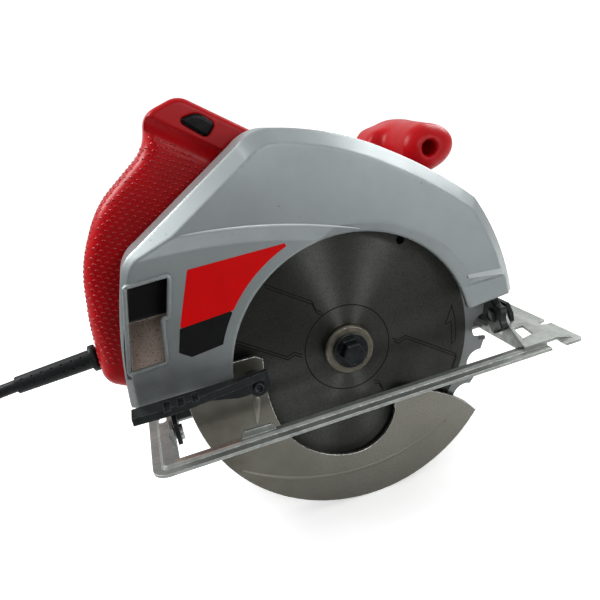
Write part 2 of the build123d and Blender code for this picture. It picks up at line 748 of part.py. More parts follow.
fan_near = 46.5
fan_depth = 9.0
fan_radius = 34.0
FAN_BLADES = 14
with BuildPart() as cooling_fan:
    with BuildSketch(side(fan_near + fan_depth)):
        with Locations((motor_x, motor_z)):
            Circle(fan_radius)
    extrude(amount=1.6)
    with BuildSketch(side(fan_near + fan_depth)):
        with Locations((motor_x, motor_z)):
            Circle(shaft_radius + 3)
            with PolarLocations(fan_radius - 20, FAN_BLADES):
                Rectangle(20, 1.8, align=(Align.MIN, Align.CENTER))
    extrude(amount=fan_depth)
    with BuildSketch(side(fan_near + fan_depth)):
        with Locations((motor_x, motor_z)):
            Circle(shaft_radius + SEAT_GAP / 2)
    extrude(amount=fan_depth, mode=Mode.SUBTRACT)
save(cooling_fan, "cooling_fan")

# Field: a laminated ring with two poles, and a coil round each pole
field_bore = core_radius + 0.6
field_yoke = 5.9
field_ring = plate_radius - field_yoke
pole_half_width = 17.0
field_near = core_near - 2
field_far = core_far + 2
with BuildPart() as field_core:
    with BuildSketch(side(field_far)):
        with Locations((motor_x, motor_z)):
            Circle(plate_radius)
            Circle(field_ring, mode=Mode.SUBTRACT)
            Rectangle(2 * pole_half_width, 2 * field_ring + 2)
            Circle(field_bore, mode=Mode.SUBTRACT)
    extrude(amount=field_far - field_near)
save(field_core, "field_core")

coil_overhang = 4.0
with BuildPart() as field_coils:
    with BuildSketch(side(field_far + coil_overhang)):
        with Locations((motor_x, motor_z)):
            Circle(field_ring - 0.3)
            Circle(field_bore + 1.5, mode=Mode.SUBTRACT)
            Rectangle(2 * pole_half_width + 0.6, 3 * field_ring, mode=Mode.SUBTRACT)
            Rectangle(3 * field_ring, 3, mode=Mode.SUBTRACT)
    extrude(amount=field_far - field_near + 2 * coil_overhang)
    with BuildSketch(side(field_far + coil_overhang), side(field_near - 0.3)):
        with Locations((motor_x, motor_z)):
            Circle(field_ring - 0.3)
            Circle(field_bore + 1.5, mode=Mode.SUBTRACT)
            Rectangle(3 * field_ring, 3, mode=Mode.SUBTRACT)
    extrude(amount=coil_overhang - 0.3)
save(field_coils, "field_coils")

# Brushes lie along X on both sides of the commutator
brush_y = (commutator_near + commutator_far) / 2
brush_height = 8.0
brush_thick = 5.0
holder_wall = 1.4
holder_inner = commutator_radius + 2
holder_outer = MOTOR_RADIUS - MOTOR_WALL - 1
cap_radius = 7.0
brush_plane = Plane.YZ.offset(motor_x)
with BuildPart() as brush_holders:
    for outward in (1, -1):
        with BuildSketch(brush_plane.offset(outward * holder_inner)):
            with Locations((brush_y, motor_z)):
                Rectangle(brush_height + 2 * holder_wall, brush_thick + 2 * holder_wall)
                Rectangle(brush_height + 2 * SEAT_GAP, brush_thick + 2 * SEAT_GAP, mode=Mode.SUBTRACT)
        extrude(amount=outward * (holder_outer - holder_inner))
save(brush_holders, "brush_holders")

brush_length = 18.0
with BuildPart() as carbon_brushes:
    for outward in (1, -1):
        with BuildSketch(brush_plane.offset(outward * (commutator_radius + RUNNING_FIT))):
            with Locations((brush_y, motor_z)):
                Rectangle(brush_height, brush_thick)
        extrude(amount=outward * brush_length)
save(carbon_brushes, "carbon_brushes")

cap_depth = 4.6
with BuildPart() as brush_caps:
    for outward in (1, -1):
        with BuildSketch(brush_plane.offset(outward * (holder_outer + SEAT_GAP))):
            with Locations((brush_y, motor_z)):
                Circle(cap_radius)
        extrude(amount=outward * cap_depth)
        with BuildSketch(brush_plane.offset(outward * (holder_outer + cap_depth - 1))):
            with Locations((brush_y, motor_z)):
                Rectangle(1.6, 10)
        extrude(amount=outward * 2, mode=Mode.SUBTRACT)
save(brush_caps, "brush_caps")

# Motor housing and end cap
cap_screw_inset = 6.5
cap_screw_ring = MOTOR_RADIUS - cap_screw_inset
cap_screw_radius = 2.0
cap_boss_radius = 4.2
boss_length = 18.0
VENT_ANGLES = [-120.0, -105.0, -90.0, -75.0, -60.0]
vent_width = 4.0
lug_screw = (33.0, 88.0)
AUX_FAR = 80.0
aux_lug_length = 8.0
with BuildPart() as motor_housing:
    with BuildSketch(side(motor_end)):
        with Locations((motor_x, motor_z)):
            Circle(MOTOR_RADIUS)
            Circle(MOTOR_RADIUS - MOTOR_WALL, mode=Mode.SUBTRACT)
    extrude(amount=MOTOR_LENGTH)
    with BuildSketch(side(motor_end)):
        with Locations((motor_x, motor_z)):
            with PolarLocations(cap_screw_ring, 4, start_angle=45):
                Circle(cap_boss_radius)
                Circle(cap_screw_radius + SEAT_GAP, mode=Mode.SUBTRACT)
    extrude(amount=boss_length)
    # Lug that takes the front handle's screw
    with BuildSketch(side(AUX_FAR + SEAT_GAP + aux_lug_length)):
        with Locations(lug_screw):
            Circle(6)
        with Locations(((motor_x + lug_screw[0]) / 2, (motor_z + lug_screw[1]) / 2)):
            Circle(12)
        make_hull()
        with Locations((motor_x, motor_z)):
            Circle(MOTOR_RADIUS - MOTOR_WALL / 2, mode=Mode.SUBTRACT)
        with Locations(lug_screw):
            Circle(2.5 + SEAT_GAP, mode=Mode.SUBTRACT)
    extrude(amount=aux_lug_length)
    # Air slots round the fan, and the brush cap holes
    for angle in VENT_ANGLES:
        turn = math.radians(angle)
        place = (motor_x + MOTOR_RADIUS * math.cos(turn), 0, motor_z + MOTOR_RADIUS * math.sin(turn))
        with Locations(Location((place[0], fan_near + fan_depth / 2 + 2, place[2]), (0, -angle, 0))):
            Box(4 * MOTOR_WALL, fan_depth, vent_width, mode=Mode.SUBTRACT)
    with BuildSketch(brush_plane):
        with Locations((brush_y, motor_z)):
            Circle(cap_radius + SEAT_GAP)
    extrude(amount=2 * MOTOR_RADIUS, both=True, mode=Mode.SUBTRACT)
save(motor_housing, "motor_housing")

cap_end = motor_end + END_CAP_LENGTH
with BuildPart() as motor_end_cap:
    with BuildSketch(side(cap_end)):
        with Locations((motor_x, motor_z)):
            Circle(MOTOR_RADIUS)
    extrude(amount=END_CAP_LENGTH)
    fillet(motor_end_cap.faces().sort_by(Axis.Y)[-1].edges(), 6)
    with BuildSketch(side(cap_end - MOTOR_WALL)):
        with Locations((motor_x, motor_z)):
            Circle(MOTOR_RADIUS - 2 * MOTOR_WALL)
    extrude(amount=END_CAP_LENGTH - MOTOR_WALL, mode=Mode.SUBTRACT)
    with BuildSketch(side(cap_end - MOTOR_WALL)):
        with Locations((motor_x, motor_z)):
            Circle(rear_bearing_radius + 3)
            with PolarLocations(cap_screw_ring, 4, start_angle=45):
                Circle(cap_boss_radius)
    extrude(amount=END_CAP_LENGTH - MOTOR_WALL)
    with BuildSketch(side(rear_bearing_far)):
        with Locations((motor_x, motor_z)):
            Circle(rear_bearing_radius + SEAT_GAP / 2)
    extrude(amount=END_CAP_LENGTH, mode=Mode.SUBTRACT)
    with BuildSketch(side(rear_bearing_far + 2)):
        with Locations((motor_x, motor_z)):
            Circle(rear_bearing_radius - 3)
    extrude(amount=END_CAP_LENGTH, mode=Mode.SUBTRACT)
    with BuildSketch(side(cap_end)):
        with Locations((motor_x, motor_z)):
            with PolarLocations(cap_screw_ring, 4, start_angle=45):
                Circle(cap_screw_radius + SEAT_GAP)
            with PolarLocations(25, 12):
                SlotOverall(14, vent_width)
    extrude(amount=2 * END_CAP_LENGTH, mode=Mode.SUBTRACT)
    with BuildSketch(side(cap_end)):
        with Locations((motor_x, motor_z)):
            with PolarLocations(cap_screw_ring, 4, start_angle=45):
                Circle(2 * cap_screw_radius)
    extrude(amount=4, mode=Mode.SUBTRACT)
save(motor_end_cap, "motor_end_cap")

with BuildPart() as end_cap_screws:
    with BuildSketch(side(cap_end - 2)):
        with Locations((motor_x, motor_z)):
            with PolarLocations(cap_screw_ring, 4, start_angle=45):
                Circle(2 * cap_screw_radius - SEAT_GAP)
    extrude(amount=2)
    with BuildSketch(side(cap_end - 4)):
        with Locations((motor_x, motor_z)):
            with PolarLocations(cap_screw_ring, 4, start_angle=45):
                Circle(cap_screw_radius)
    extrude(amount=END_CAP_LENGTH + boss_length - 5)
save(end_cap_screws, "end_cap_screws")

# Lower guard: two walls and a rim that swing round the hub; the near wall is cut away round the arbor
# Free edge of the lower guard's near wall, from the nose to the tail: (distance in from the rim, angle)
GUARD_EDGE = [
    (30.8, -41.2),
    (50.0, -49.3),
    (53.4, -58.7),
    (47.7, -66.2),
    (35.1, -83.9),
    (31.1, -98.6),
    (32.8, 236.3),
    (39.0, 208.8),
    (42.6, 194.7),
    (44.7, 179.1),
    (44.8, 167.1),
    (40.2, 165.3),
    (27.1, 167.8),
]
LEVER_BOSS = (-58.8, 28.6)
LEVER_BOSS_RADIUS = 5.5
LEVER_SCREW_RADIUS = 2.0
guard_tail = around_arbor(guard_radius, GUARD_TAIL_ANGLE)
guard_nose = around_arbor(guard_radius, GUARD_NOSE_ANGLE)
guard_middle = around_arbor(guard_radius, (GUARD_TAIL_ANGLE + GUARD_NOSE_ANGLE + 360) / 2)
guard_edge = [around_arbor(guard_radius - inset, angle) for inset, angle in GUARD_EDGE]
rim_inner = guard_radius - 1.5
with BuildPart() as lower_guard:
    with BuildSketch(side(GUARD_FAR_FACE)):
        with BuildLine():
            ThreePointArc(guard_tail, guard_middle, guard_nose)
            Polyline(guard_nose, (0, ARBOR_HEIGHT), guard_tail)
        make_face()
        with Locations((0, ARBOR_HEIGHT)):
            Circle(rim_inner, mode=Mode.SUBTRACT)
    extrude(amount=GUARD_FAR_FACE + GUARD_HALF_WIDTH)
    # Far wall, with a dished hub
    with BuildSketch(side(GUARD_FAR_FACE)):
        with BuildLine():
            ThreePointArc(guard_tail, guard_middle, guard_nose)
            Polyline(guard_nose, (0, ARBOR_HEIGHT), guard_tail)
        make_face()
        with Locations((0, ARBOR_HEIGHT)):
            Circle(DISH_RADIUS + 2.5)
            Circle(DISH_RADIUS, mode=Mode.SUBTRACT)
    extrude(amount=GUARD_SHEET)
    with BuildSketch(side(dish_far)):
        with Locations((0, ARBOR_HEIGHT)):
            Circle(DISH_RADIUS + 2.5)
            Circle(HUB_RADIUS + RUNNING_FIT, mode=Mode.SUBTRACT)
    extrude(amount=GUARD_SHEET)
    # Near wall
    with BuildSketch(side(GUARD_SHEET - GUARD_HALF_WIDTH)):
        with BuildLine():
            ThreePointArc(guard_tail, guard_middle, guard_nose)
            ThreePointArc(guard_nose, *guard_edge[0:2])
            for start in (1, 3, 5, 7):
                ThreePointArc(*guard_edge[start : start + 3])
            Polyline(*guard_edge[9:], guard_tail)
        make_face()
        with Locations(LEVER_BOSS):
            Circle(LEVER_SCREW_RADIUS + SEAT_GAP, mode=Mode.SUBTRACT)
    extrude(amount=GUARD_SHEET)
save(lower_guard, "lower_guard")

# Lifting lever on the lower guard: a plate with a ribbed thumb shelf, on a boss through the arch
LEVER_NEAR = 20.5
LEVER_SHEET = 3.0
LEVER_TOP = 36.5
SHELF_THICKNESS = 4.2
GROOVES = [-107.7, -100.4, -92.8]
lever_far = LEVER_NEAR - LEVER_SHEET
with BuildPart() as guard_lever:
    with BuildSketch(side(-lever_far)):
        with BuildLine():
            Polyline(
                (-52.0, LEVER_TOP),
                (-52.0, 25.9),
                (-70.0, 25.6),
                (-96.0, 31.5),
                (-126.0, 31.5),
                (-126.0, LEVER_TOP),
                close=True,
            )
        make_face()
    extrude(amount=LEVER_SHEET)
    with BuildSketch(Plane.XY.offset(LEVER_TOP - SHELF_THICKNESS)):
        with BuildLine():
            Polyline(
                (-126.0, -lever_far),
                (-126.0, -29.0),
                (-110.0, -30.0),
                (-95.0, -28.5),
                (-54.0, -LEVER_NEAR),
                (-54.0, -lever_far),
                close=True,
            )
        make_face()
    extrude(amount=SHELF_THICKNESS)
    with BuildSketch(side(-GUARD_HALF_WIDTH)):
        with Locations(LEVER_BOSS):
            Circle(LEVER_BOSS_RADIUS)
    extrude(amount=LEVER_NEAR - GUARD_HALF_WIDTH)
    with BuildSketch(side(-GUARD_HALF_WIDTH)):
        with Locations(LEVER_BOSS):
            Circle(LEVER_SCREW_RADIUS + SEAT_GAP)
    extrude(amount=LEVER_NEAR, mode=Mode.SUBTRACT)
    with BuildSketch(Plane.XY.offset(LEVER_TOP)):
        for groove in GROOVES:
            with Locations((groove, -LEVER_NEAR - 5)):
                Rectangle(3.4, 9)
    extrude(amount=-1.2, mode=Mode.SUBTRACT)
save(guard_lever, "guard_lever")

with BuildPart() as guard_lever_screw:
    with BuildSketch(side(-LEVER_NEAR)):
        with Locations(LEVER_BOSS):
            Circle(1.75 * LEVER_SCREW_RADIUS)
    extrude(amount=2)
    with BuildSketch(side(-LEVER_NEAR)):
        with Locations(LEVER_BOSS):
            Circle(LEVER_SCREW_RADIUS)
    extrude(amount=GUARD_HALF_WIDTH - GUARD_SHEET - LEVER_NEAR)
save(guard_lever_screw, "guard_lever_screw")

# Foot: a stamped sheet with a flat lip all round, a raised bar, and a higher front panel
GUSSET_SHEET = 2.0
FOOT_CORNER = 9.0
FRONT_CORNER = 3.0
CASE_ROOM_X = 45.0
CASE_ROOM_Y = 42.0
TAB_REAR = -76.0
TAB_FRONT = -55.0
TAB_TOP = 7.5
FENCE_SETBACK = 15.5
FENCE_WIDTH = 10.0
FENCE_SLOT = (GUSSET_REAR + FENCE_SETBACK, GUSSET_REAR + FENCE_SETBACK + FENCE_WIDTH)
FENCE_SLOT_HEIGHT = 3.2
SIGHT_WINDOW = [(10.9, 0.0), (17.5, 0.0), (15.4, -14.3), (6.8, -16.4)]
NOTCH_DEPTH = 8.1
lock_z = BEVEL_Z + BEVEL_LOCK
lug_front = OPENING_REAR
with BuildPart() as foot:
    with BuildSketch():
        with BuildLine():
            FilletPolyline(
                (FOOT_REAR, FOOT_NEAR),
                (FOOT_FRONT, FOOT_NEAR),
                (FOOT_FRONT, FOOT_FAR),
                (FOOT_REAR, FOOT_FAR),
                radius=[FOOT_CORNER, FRONT_CORNER, FRONT_CORNER, FOOT_CORNER],
                close=True,
            )
        make_face()
    extrude(amount=FOOT_SHEET)
    with BuildSketch():
        with BuildLine():
            FilletPolyline(
                (FOOT_REAR + LIP_WIDTH, FOOT_NEAR + LIP_WIDTH),
                (PANEL_BEND, FOOT_NEAR + LIP_WIDTH),
                (PANEL_BEND, FOOT_FAR - LIP_WIDTH),
                (FOOT_REAR + LIP_WIDTH, FOOT_FAR - LIP_WIDTH),
                radius=FOOT_CORNER - LIP_WIDTH,
                close=True,
            )
        make_face()
    extrude(amount=BAR_TOP)
    chamfer(foot.faces().sort_by(Axis.Z)[-1].edges(), 1.2)
    with BuildSketch(side(FOOT_FAR - LIP_WIDTH)):
        with BuildLine():
            Polyline(
                (GUSSET_REAR, 0),
                (GUSSET_REAR, PANEL_TOP),
                (PANEL_BEND, PANEL_TOP),
                (FRONT_LIP, FOOT_SHEET),
                (FRONT_LIP, 0),
                close=True,
            )
        make_face()
    extrude(amount=FOOT_FAR - FOOT_NEAR - 2 * LIP_WIDTH)
    # Underside, pressed up between the lips
    with BuildSketch():
        with BuildLine():
            Polyline(
                (FOOT_REAR + LIP_WIDTH + FOOT_SHEET, FOOT_NEAR + LIP_WIDTH + FOOT_SHEET),
                (GUSSET_REAR + 1, FOOT_NEAR + LIP_WIDTH + FOOT_SHEET),
                (GUSSET_REAR + 1, FOOT_FAR - LIP_WIDTH - FOOT_SHEET),
                (FOOT_REAR + LIP_WIDTH + FOOT_SHEET, FOOT_FAR - LIP_WIDTH - FOOT_SHEET),
                close=True,
            )
        make_face()
    extrude(amount=BAR_TOP - FOOT_SHEET, mode=Mode.SUBTRACT)
    with BuildSketch(side(FOOT_FAR - LIP_WIDTH - FOOT_SHEET)):
        with BuildLine():
            Polyline(
                (GUSSET_REAR + GUSSET_SHEET, 0),
                (GUSSET_REAR + GUSSET_SHEET, PANEL_TOP - FOOT_SHEET),
                (PANEL_BEND - FOOT_SHEET / 2, PANEL_TOP - FOOT_SHEET),
                (FRONT_LIP - FOOT_SHEET, 0),
                close=True,
            )
        make_face()
    extrude(amount=FOOT_FAR - FOOT_NEAR - 2 * LIP_WIDTH - 2 * FOOT_SHEET, mode=Mode.SUBTRACT)
    # Blade opening, widened beside the gear case
    with BuildSketch():
        with BuildLine():
            Polyline(
                (OPENING_REAR, BAR_INNER),
                (GUSSET_REAR, BAR_INNER),
                (GUSSET_REAR, OPENING_FAR),
                (CASE_ROOM_X, OPENING_FAR),
                (CASE_ROOM_X, CASE_ROOM_Y),
                (-CASE_ROOM_X, CASE_ROOM_Y),
                (-CASE_ROOM_X, OPENING_FAR),
                (OPENING_REAR, OPENING_FAR),
                close=True,
            )
        make_face()
        # Sight window and line notch of the front panel, and a slot in the rear bar
        with BuildLine():
            Polyline([(GUSSET_REAR + ahead, across) for ahead, across in SIGHT_WINDOW], close=True)
        make_face()
        with BuildLine():
            Polyline(
                (FOOT_FRONT + 1, -1.6),
                (FOOT_FRONT - NOTCH_DEPTH, -3),
                (FOOT_FRONT - NOTCH_DEPTH + 0.6, 1.9),
                (FOOT_FRONT + 1, 5),
                close=True,
            )
        make_face()
        with Locations((OPENING_REAR - 6.5, 30)):
            SlotOverall(12, 5, rotation=90)
    extrude(amount=2 * PANEL_TOP, mode=Mode.SUBTRACT)
    # Slot across the panel for a fence bar
    with BuildSketch(side(FOOT_FAR + 1)):
        with BuildLine():
            Polyline(
                (FENCE_SLOT[0], 0),
                (FENCE_SLOT[0], FENCE_SLOT_HEIGHT),
                (FENCE_SLOT[1] - 3, FENCE_SLOT_HEIGHT),
                (FENCE_SLOT[1], 0),
                close=True,
            )
        make_face()
    extrude(amount=FOOT_FAR - FOOT_NEAR + 2, mode=Mode.SUBTRACT)
    # Gusset that carries the bevel lock, rear lug, and the tab beside the blade
    with BuildSketch(Plane.YZ.offset(GUSSET_REAR)):
        with BuildLine():
            FilletPolyline(
                (FOOT_NEAR + LIP_WIDTH, PANEL_TOP - FOOT_SHEET),
                (FOOT_NEAR + LIP_WIDTH, PANEL_TOP),
                (-12.2, 14.6),
                (-8.0, lock_z + 5.5),
                (4.0, lock_z + 5.5),
                (13.0, PANEL_TOP - FOOT_SHEET),
                radius=0.6,
                close=True,
            )
        make_face()
        with Locations((BEVEL_Y, BEVEL_Z)):
            Circle(PIN_RADIUS + RUNNING_FIT, mode=Mode.SUBTRACT)
        with Locations((BEVEL_Y, lock_z)):
            Circle(PIN_RADIUS + SEAT_GAP, mode=Mode.SUBTRACT)
    extrude(amount=GUSSET_SHEET)
    with BuildSketch(Plane.YZ.offset(lug_front)):
        with BuildLine():
            FilletPolyline(
                (BEVEL_Y - 8, BAR_TOP - FOOT_SHEET),
                (BEVEL_Y - 6, BEVEL_Z + 6),
                (BEVEL_Y + 6, BEVEL_Z + 6),
                (BEVEL_Y + 8, BAR_TOP - FOOT_SHEET),
                radius=0.6,
                close=True,
            )
        make_face()
        with Locations((BEVEL_Y, BEVEL_Z)):
            Circle(PIN_RADIUS + RUNNING_FIT, mode=Mode.SUBTRACT)
    extrude(amount=-GUSSET_SHEET)
    with BuildSketch(side(BAR_INNER)):
        with BuildLine():
            Polyline(
                (TAB_REAR, BAR_TOP - 1),
                (TAB_REAR + 3, TAB_TOP),
                (TAB_FRONT - 2, TAB_TOP - 0.6),
                (TAB_FRONT, BAR_TOP - 1),
                close=True,
            )
        make_face()
    extrude(amount=FOOT_SHEET)
    with BuildSketch(Plane.YZ.offset(GUSSET_REAR)):
        with Locations((BEVEL_Y, BEVEL_Z)):
            Circle(PIN_RADIUS + RUNNING_FIT)
    extrude(amount=GUSSET_SHEET, mode=Mode.SUBTRACT)
    # Room in the panel for the head of the front pin
    with BuildSketch(Plane.YZ.offset(GUSSET_REAR + GUSSET_SHEET)):
        with Locations((BEVEL_Y, BEVEL_Z)):
            Circle(1.5 * PIN_RADIUS + 0.6)
    extrude(amount=BRACKET_SHEET + 3, mode=Mode.SUBTRACT)
save(foot, "foot")

# Front bracket: a slotted bevel plate with two ears that carry the depth pivot
bracket_rear = GUSSET_REAR + GUSSET_SHEET + 0.2
EAR_NEAR = lug_near - BRACKET_SHEET - 0.5
EAR_FAR = lug_far + BRACKET_SHEET + 0.5
EAR_TOP = PIVOT_Z + 7.0
PLATE_TOP = 27.0
PLATE_STEP = 34.0
slot_half = PIN_RADIUS + 0.3
with BuildPart() as front_bracket:
    with BuildSketch(Plane.YZ.offset(bracket_rear)):
        with BuildLine():
            Polyline(
                (BEVEL_Y, PANEL_TOP + 1),
                (EAR_FAR, PANEL_TOP + 1),
                (EAR_FAR, PLATE_STEP),
                (EAR_NEAR, PLATE_STEP),
                (EAR_NEAR, PLATE_TOP),
                (BEVEL_Y - 6, PLATE_TOP),
                (BEVEL_Y - 10, PLATE_TOP - 6),
                (BEVEL_Y - 10, PANEL_TOP + 11),
                close=True,
            )
        make_face()
        with Locations((BEVEL_Y, BEVEL_Z)):
            Circle(PIN_RADIUS + SEAT_GAP / 2, mode=Mode.SUBTRACT)
            lock_arc = Edge.make_circle(BEVEL_LOCK, start_angle=42, end_angle=93)
            SlotArc(lock_arc, 2 * slot_half, mode=Mode.SUBTRACT)
    extrude(amount=BRACKET_SHEET)
    bracket_front = bracket_rear + BRACKET_SHEET
    with BuildSketch(side(EAR_NEAR + BRACKET_SHEET), side(EAR_FAR)):
        with BuildLine():
            Polyline(
                (bracket_front, PANEL_TOP + 6),
                (bracket_front, PIVOT_Z),
                (PIVOT_X + 3, EAR_TOP),
                (PIVOT_X - 3, EAR_TOP),
                (PIVOT_X - 6.5, PIVOT_Z),
                (PIVOT_X - 3, PIVOT_Z - 7),
                (bracket_rear, PLATE_TOP),
                (bracket_rear, PANEL_TOP + 6),
                close=True,
            )
        make_face()
        with Locations((PIVOT_X, PIVOT_Z)):
            Circle(PIN_RADIUS + SEAT_GAP / 2, mode=Mode.SUBTRACT)
    extrude(amount=BRACKET_SHEET)
save(front_bracket, "front_bracket")

with BuildPart() as depth_pivot_pin:
    with BuildSketch(side(EAR_FAR)):
        with Locations((PIVOT_X, PIVOT_Z)):
            Circle(PIN_RADIUS)
    extrude(amount=EAR_FAR - EAR_NEAR)
    with BuildSketch(side(EAR_FAR + 2), side(EAR_NEAR)):
        with Locations((PIVOT_X, PIVOT_Z)):
            Circle(1.6 * PIN_RADIUS)
    extrude(amount=2)
save(depth_pivot_pin, "depth_pivot_pin")

# Depth arc: a slotted quadrant behind the hood, with a bar to the rear bevel plate
ARC_LOW = -11.0
ARC_HIGH = 33.5
SLOT_LOW = -3.5
SLOT_HIGH = 31.0
ARC_SHEET = 3.0
arc_near = back_face + CLAMP_BOSS_LENGTH + 0.2
arc_far = arc_near + ARC_SHEET
BAR_HEIGHT = 12.0
BAR_BOTTOM = 6.0
BAR_FRONT = 10.0 - CLAMP_BACK
rear_plate_front = OPENING_REAR + 3.4
with BuildPart() as depth_arc:
    with BuildSketch(side(arc_far)):
        with Locations((PIVOT_X, PIVOT_Z)):
            SlotArc(
                Edge.make_circle(DEPTH_RADIUS, start_angle=180 - ARC_HIGH, end_angle=180 - ARC_LOW),
                DEPTH_WIDTH,
            )
        with Locations((rear_plate_front, BAR_BOTTOM)):
            Rectangle(BAR_FRONT - rear_plate_front, BAR_HEIGHT, align=(Align.MIN, Align.MIN))
        with Locations((PIVOT_X, PIVOT_Z)):
            SlotArc(
                Edge.make_circle(DEPTH_RADIUS, start_angle=180 - SLOT_HIGH, end_angle=180 - SLOT_LOW),
                2 * slot_half,
                mode=Mode.SUBTRACT,
            )
    extrude(amount=ARC_SHEET)
    with BuildSketch(Plane.YZ.offset(rear_plate_front)):
        with BuildLine():
            Polyline(
                (BEVEL_Y - 6, 3),
                (BEVEL_Y + 6, 3),
                (arc_far, BAR_BOTTOM),
                (arc_far, BAR_BOTTOM + BAR_HEIGHT),
                (BEVEL_Y + 4, 20),
                (BEVEL_Y - 6, 16),
                close=True,
            )
        make_face()
        with Locations((BEVEL_Y, BEVEL_Z)):
            Circle(PIN_RADIUS + SEAT_GAP / 2, mode=Mode.SUBTRACT)
    extrude(amount=-BRACKET_SHEET)
save(depth_arc, "depth_arc")

with BuildPart() as bevel_pivot_pins:
    with BuildSketch(Plane.YZ.offset(GUSSET_REAR + 0.1)):
        with Locations((BEVEL_Y, BEVEL_Z)):
            Circle(PIN_RADIUS)
    extrude(amount=bracket_front - GUSSET_REAR - 0.1)
    with BuildSketch(Plane.YZ.offset(bracket_front)):
        with Locations((BEVEL_Y, BEVEL_Z)):
            Circle(1.5 * PIN_RADIUS)
    extrude(amount=1.8)
    with BuildSketch(Plane.YZ.offset(lug_front - GUSSET_SHEET - 1)):
        with Locations((BEVEL_Y, BEVEL_Z)):
            Circle(PIN_RADIUS)
    extrude(amount=rear_plate_front - lug_front + GUSSET_SHEET + 1)
    with BuildSketch(Plane.YZ.offset(rear_plate_front)):
        with Locations((BEVEL_Y, BEVEL_Z)):
            Circle(1.5 * PIN_RADIUS)
    extrude(amount=1.8)
save(bevel_pivot_pins, "bevel_pivot_pins")

# Bevel lock: a stud through the gusset and the slotted plate, and a star knob on its rear end
knob_front = GUSSET_REAR - 0.3
knob_rear = knob_front - KNOB_THICKNESS
stud_rear = knob_rear - 0.6
with BuildPart() as bevel_bolt:
    with BuildSketch(Plane.YZ.offset(stud_rear)):
        with Locations((BEVEL_Y, lock_z)):
            Circle(PIN_RADIUS)
    extrude(amount=bracket_front + 0.2 - stud_rear)
    with BuildSketch(Plane.YZ.offset(bracket_front + 0.2)):
        with Locations((BEVEL_Y, lock_z)):
            RegularPolygon(1.9 * PIN_RADIUS, 6)
    extrude(amount=2.6)
save(bevel_bolt, "bevel_bolt")

KNOB_LOBES = 6
SCALLOP_RADIUS = 7.0
SCALLOP_DEPTH = 3.0
KNOB_HUB = 4.8
KNOB_HUB_RISE = 1.2
with BuildPart() as bevel_knob:
    with BuildSketch(Plane.YZ.offset(knob_front)):
        with Locations((BEVEL_Y, lock_z)):
            Circle(KNOB_RADIUS)
            with PolarLocations(KNOB_RADIUS + SCALLOP_RADIUS - SCALLOP_DEPTH, KNOB_LOBES, start_angle=60):
                Circle(SCALLOP_RADIUS, mode=Mode.SUBTRACT)
            Circle(PIN_RADIUS + RUNNING_FIT, mode=Mode.SUBTRACT)
    extrude(amount=-KNOB_THICKNESS)
    chamfer(bevel_knob.faces().sort_by(Axis.X)[0].outer_wire().edges(), 0.6)
    with BuildSketch(Plane.YZ.offset(knob_rear)):
        with Locations((BEVEL_Y, lock_z)):
            Circle(KNOB_HUB)
            Circle(PIN_RADIUS + RUNNING_FIT, mode=Mode.SUBTRACT)
    extrude(amount=-KNOB_HUB_RISE)
save(bevel_knob, "bevel_knob")

# Depth clamp: a coach bolt through the hood's back wall and the arc's slot, and a lever nut
LEVER_HUB_RADIUS = 9.0
LEVER_TIP = (-116.0, 50.0)
lever_hub_near = arc_far + 0.3
lever_hub_far = lever_hub_near + 9.2
with BuildPart() as depth_clamp_bolt:
    with BuildSketch(side(GUARD_INNER_FAR)):
        with Locations((clamp_x, clamp_z)):
            Circle(1.8 * PIN_RADIUS)
    extrude(amount=1.8)
    with BuildSketch(side(lever_hub_far + 1)):
        with Locations((clamp_x, clamp_z)):
            Circle(PIN_RADIUS)
    extrude(amount=lever_hub_far + 1 - GUARD_INNER_FAR)
save(depth_clamp_bolt, "depth_clamp_bolt")

with BuildPart() as depth_lever:
    with BuildSketch(side(lever_hub_far)):
        with Locations((clamp_x, clamp_z)):
            Circle(LEVER_HUB_RADIUS)
    extrude(amount=lever_hub_far - lever_hub_near)
    with BuildSketch(side(lever_hub_far)):
        with Locations((clamp_x, clamp_z)):
            Circle(LEVER_HUB_RADIUS - 2)
        with Locations(LEVER_TIP):
            Circle(LEVER_HUB_RADIUS - 4)
        make_hull()
    extrude(amount=6)
    with BuildSketch(side(lever_hub_far)):
        with Locations((clamp_x, clamp_z)):
            Circle(PIN_RADIUS + RUNNING_FIT)
    extrude(amount=lever_hub_far, mode=Mode.SUBTRACT)
save(depth_lever, "depth_lever")

# Spindle lock: a button on the front of the gear case, with a pin that reaches in beside the gear
LOCK_TRAVEL = 4.0
LOCK_HEAD_RADIUS = 5.5
LOCK_HEAD_LENGTH = 5.0
LOCK_STOP_GAP = 0.4
head_drop = motor_z - ARBOR_HEIGHT - LOCK_HEAD_RADIUS
case_side = motor_x + math.sqrt(MOTOR_RADIUS**2 - head_drop**2)
lock_head_rear = case_side + LOCK_STOP_GAP + LOCK_TRAVEL
with BuildPart() as spindle_lock_button:
    with BuildSketch(Plane.YZ.offset(bearing_bore + 1.5 + LOCK_TRAVEL)):
        with Locations((lock_pin_y, ARBOR_HEIGHT)):
            Circle(lock_pin_radius)
    extrude(amount=lock_head_rear - bearing_bore - 1.5 - LOCK_TRAVEL)
    with BuildSketch(Plane.YZ.offset(lock_head_rear)):
        with Locations((lock_pin_y, ARBOR_HEIGHT)):
            Circle(LOCK_HEAD_RADIUS)
    extrude(amount=LOCK_HEAD_LENGTH)
    fillet(spindle_lock_button.faces().sort_by(Axis.X)[-1].edges(), 1.5)
save(spindle_lock_button, "spindle_lock_button")

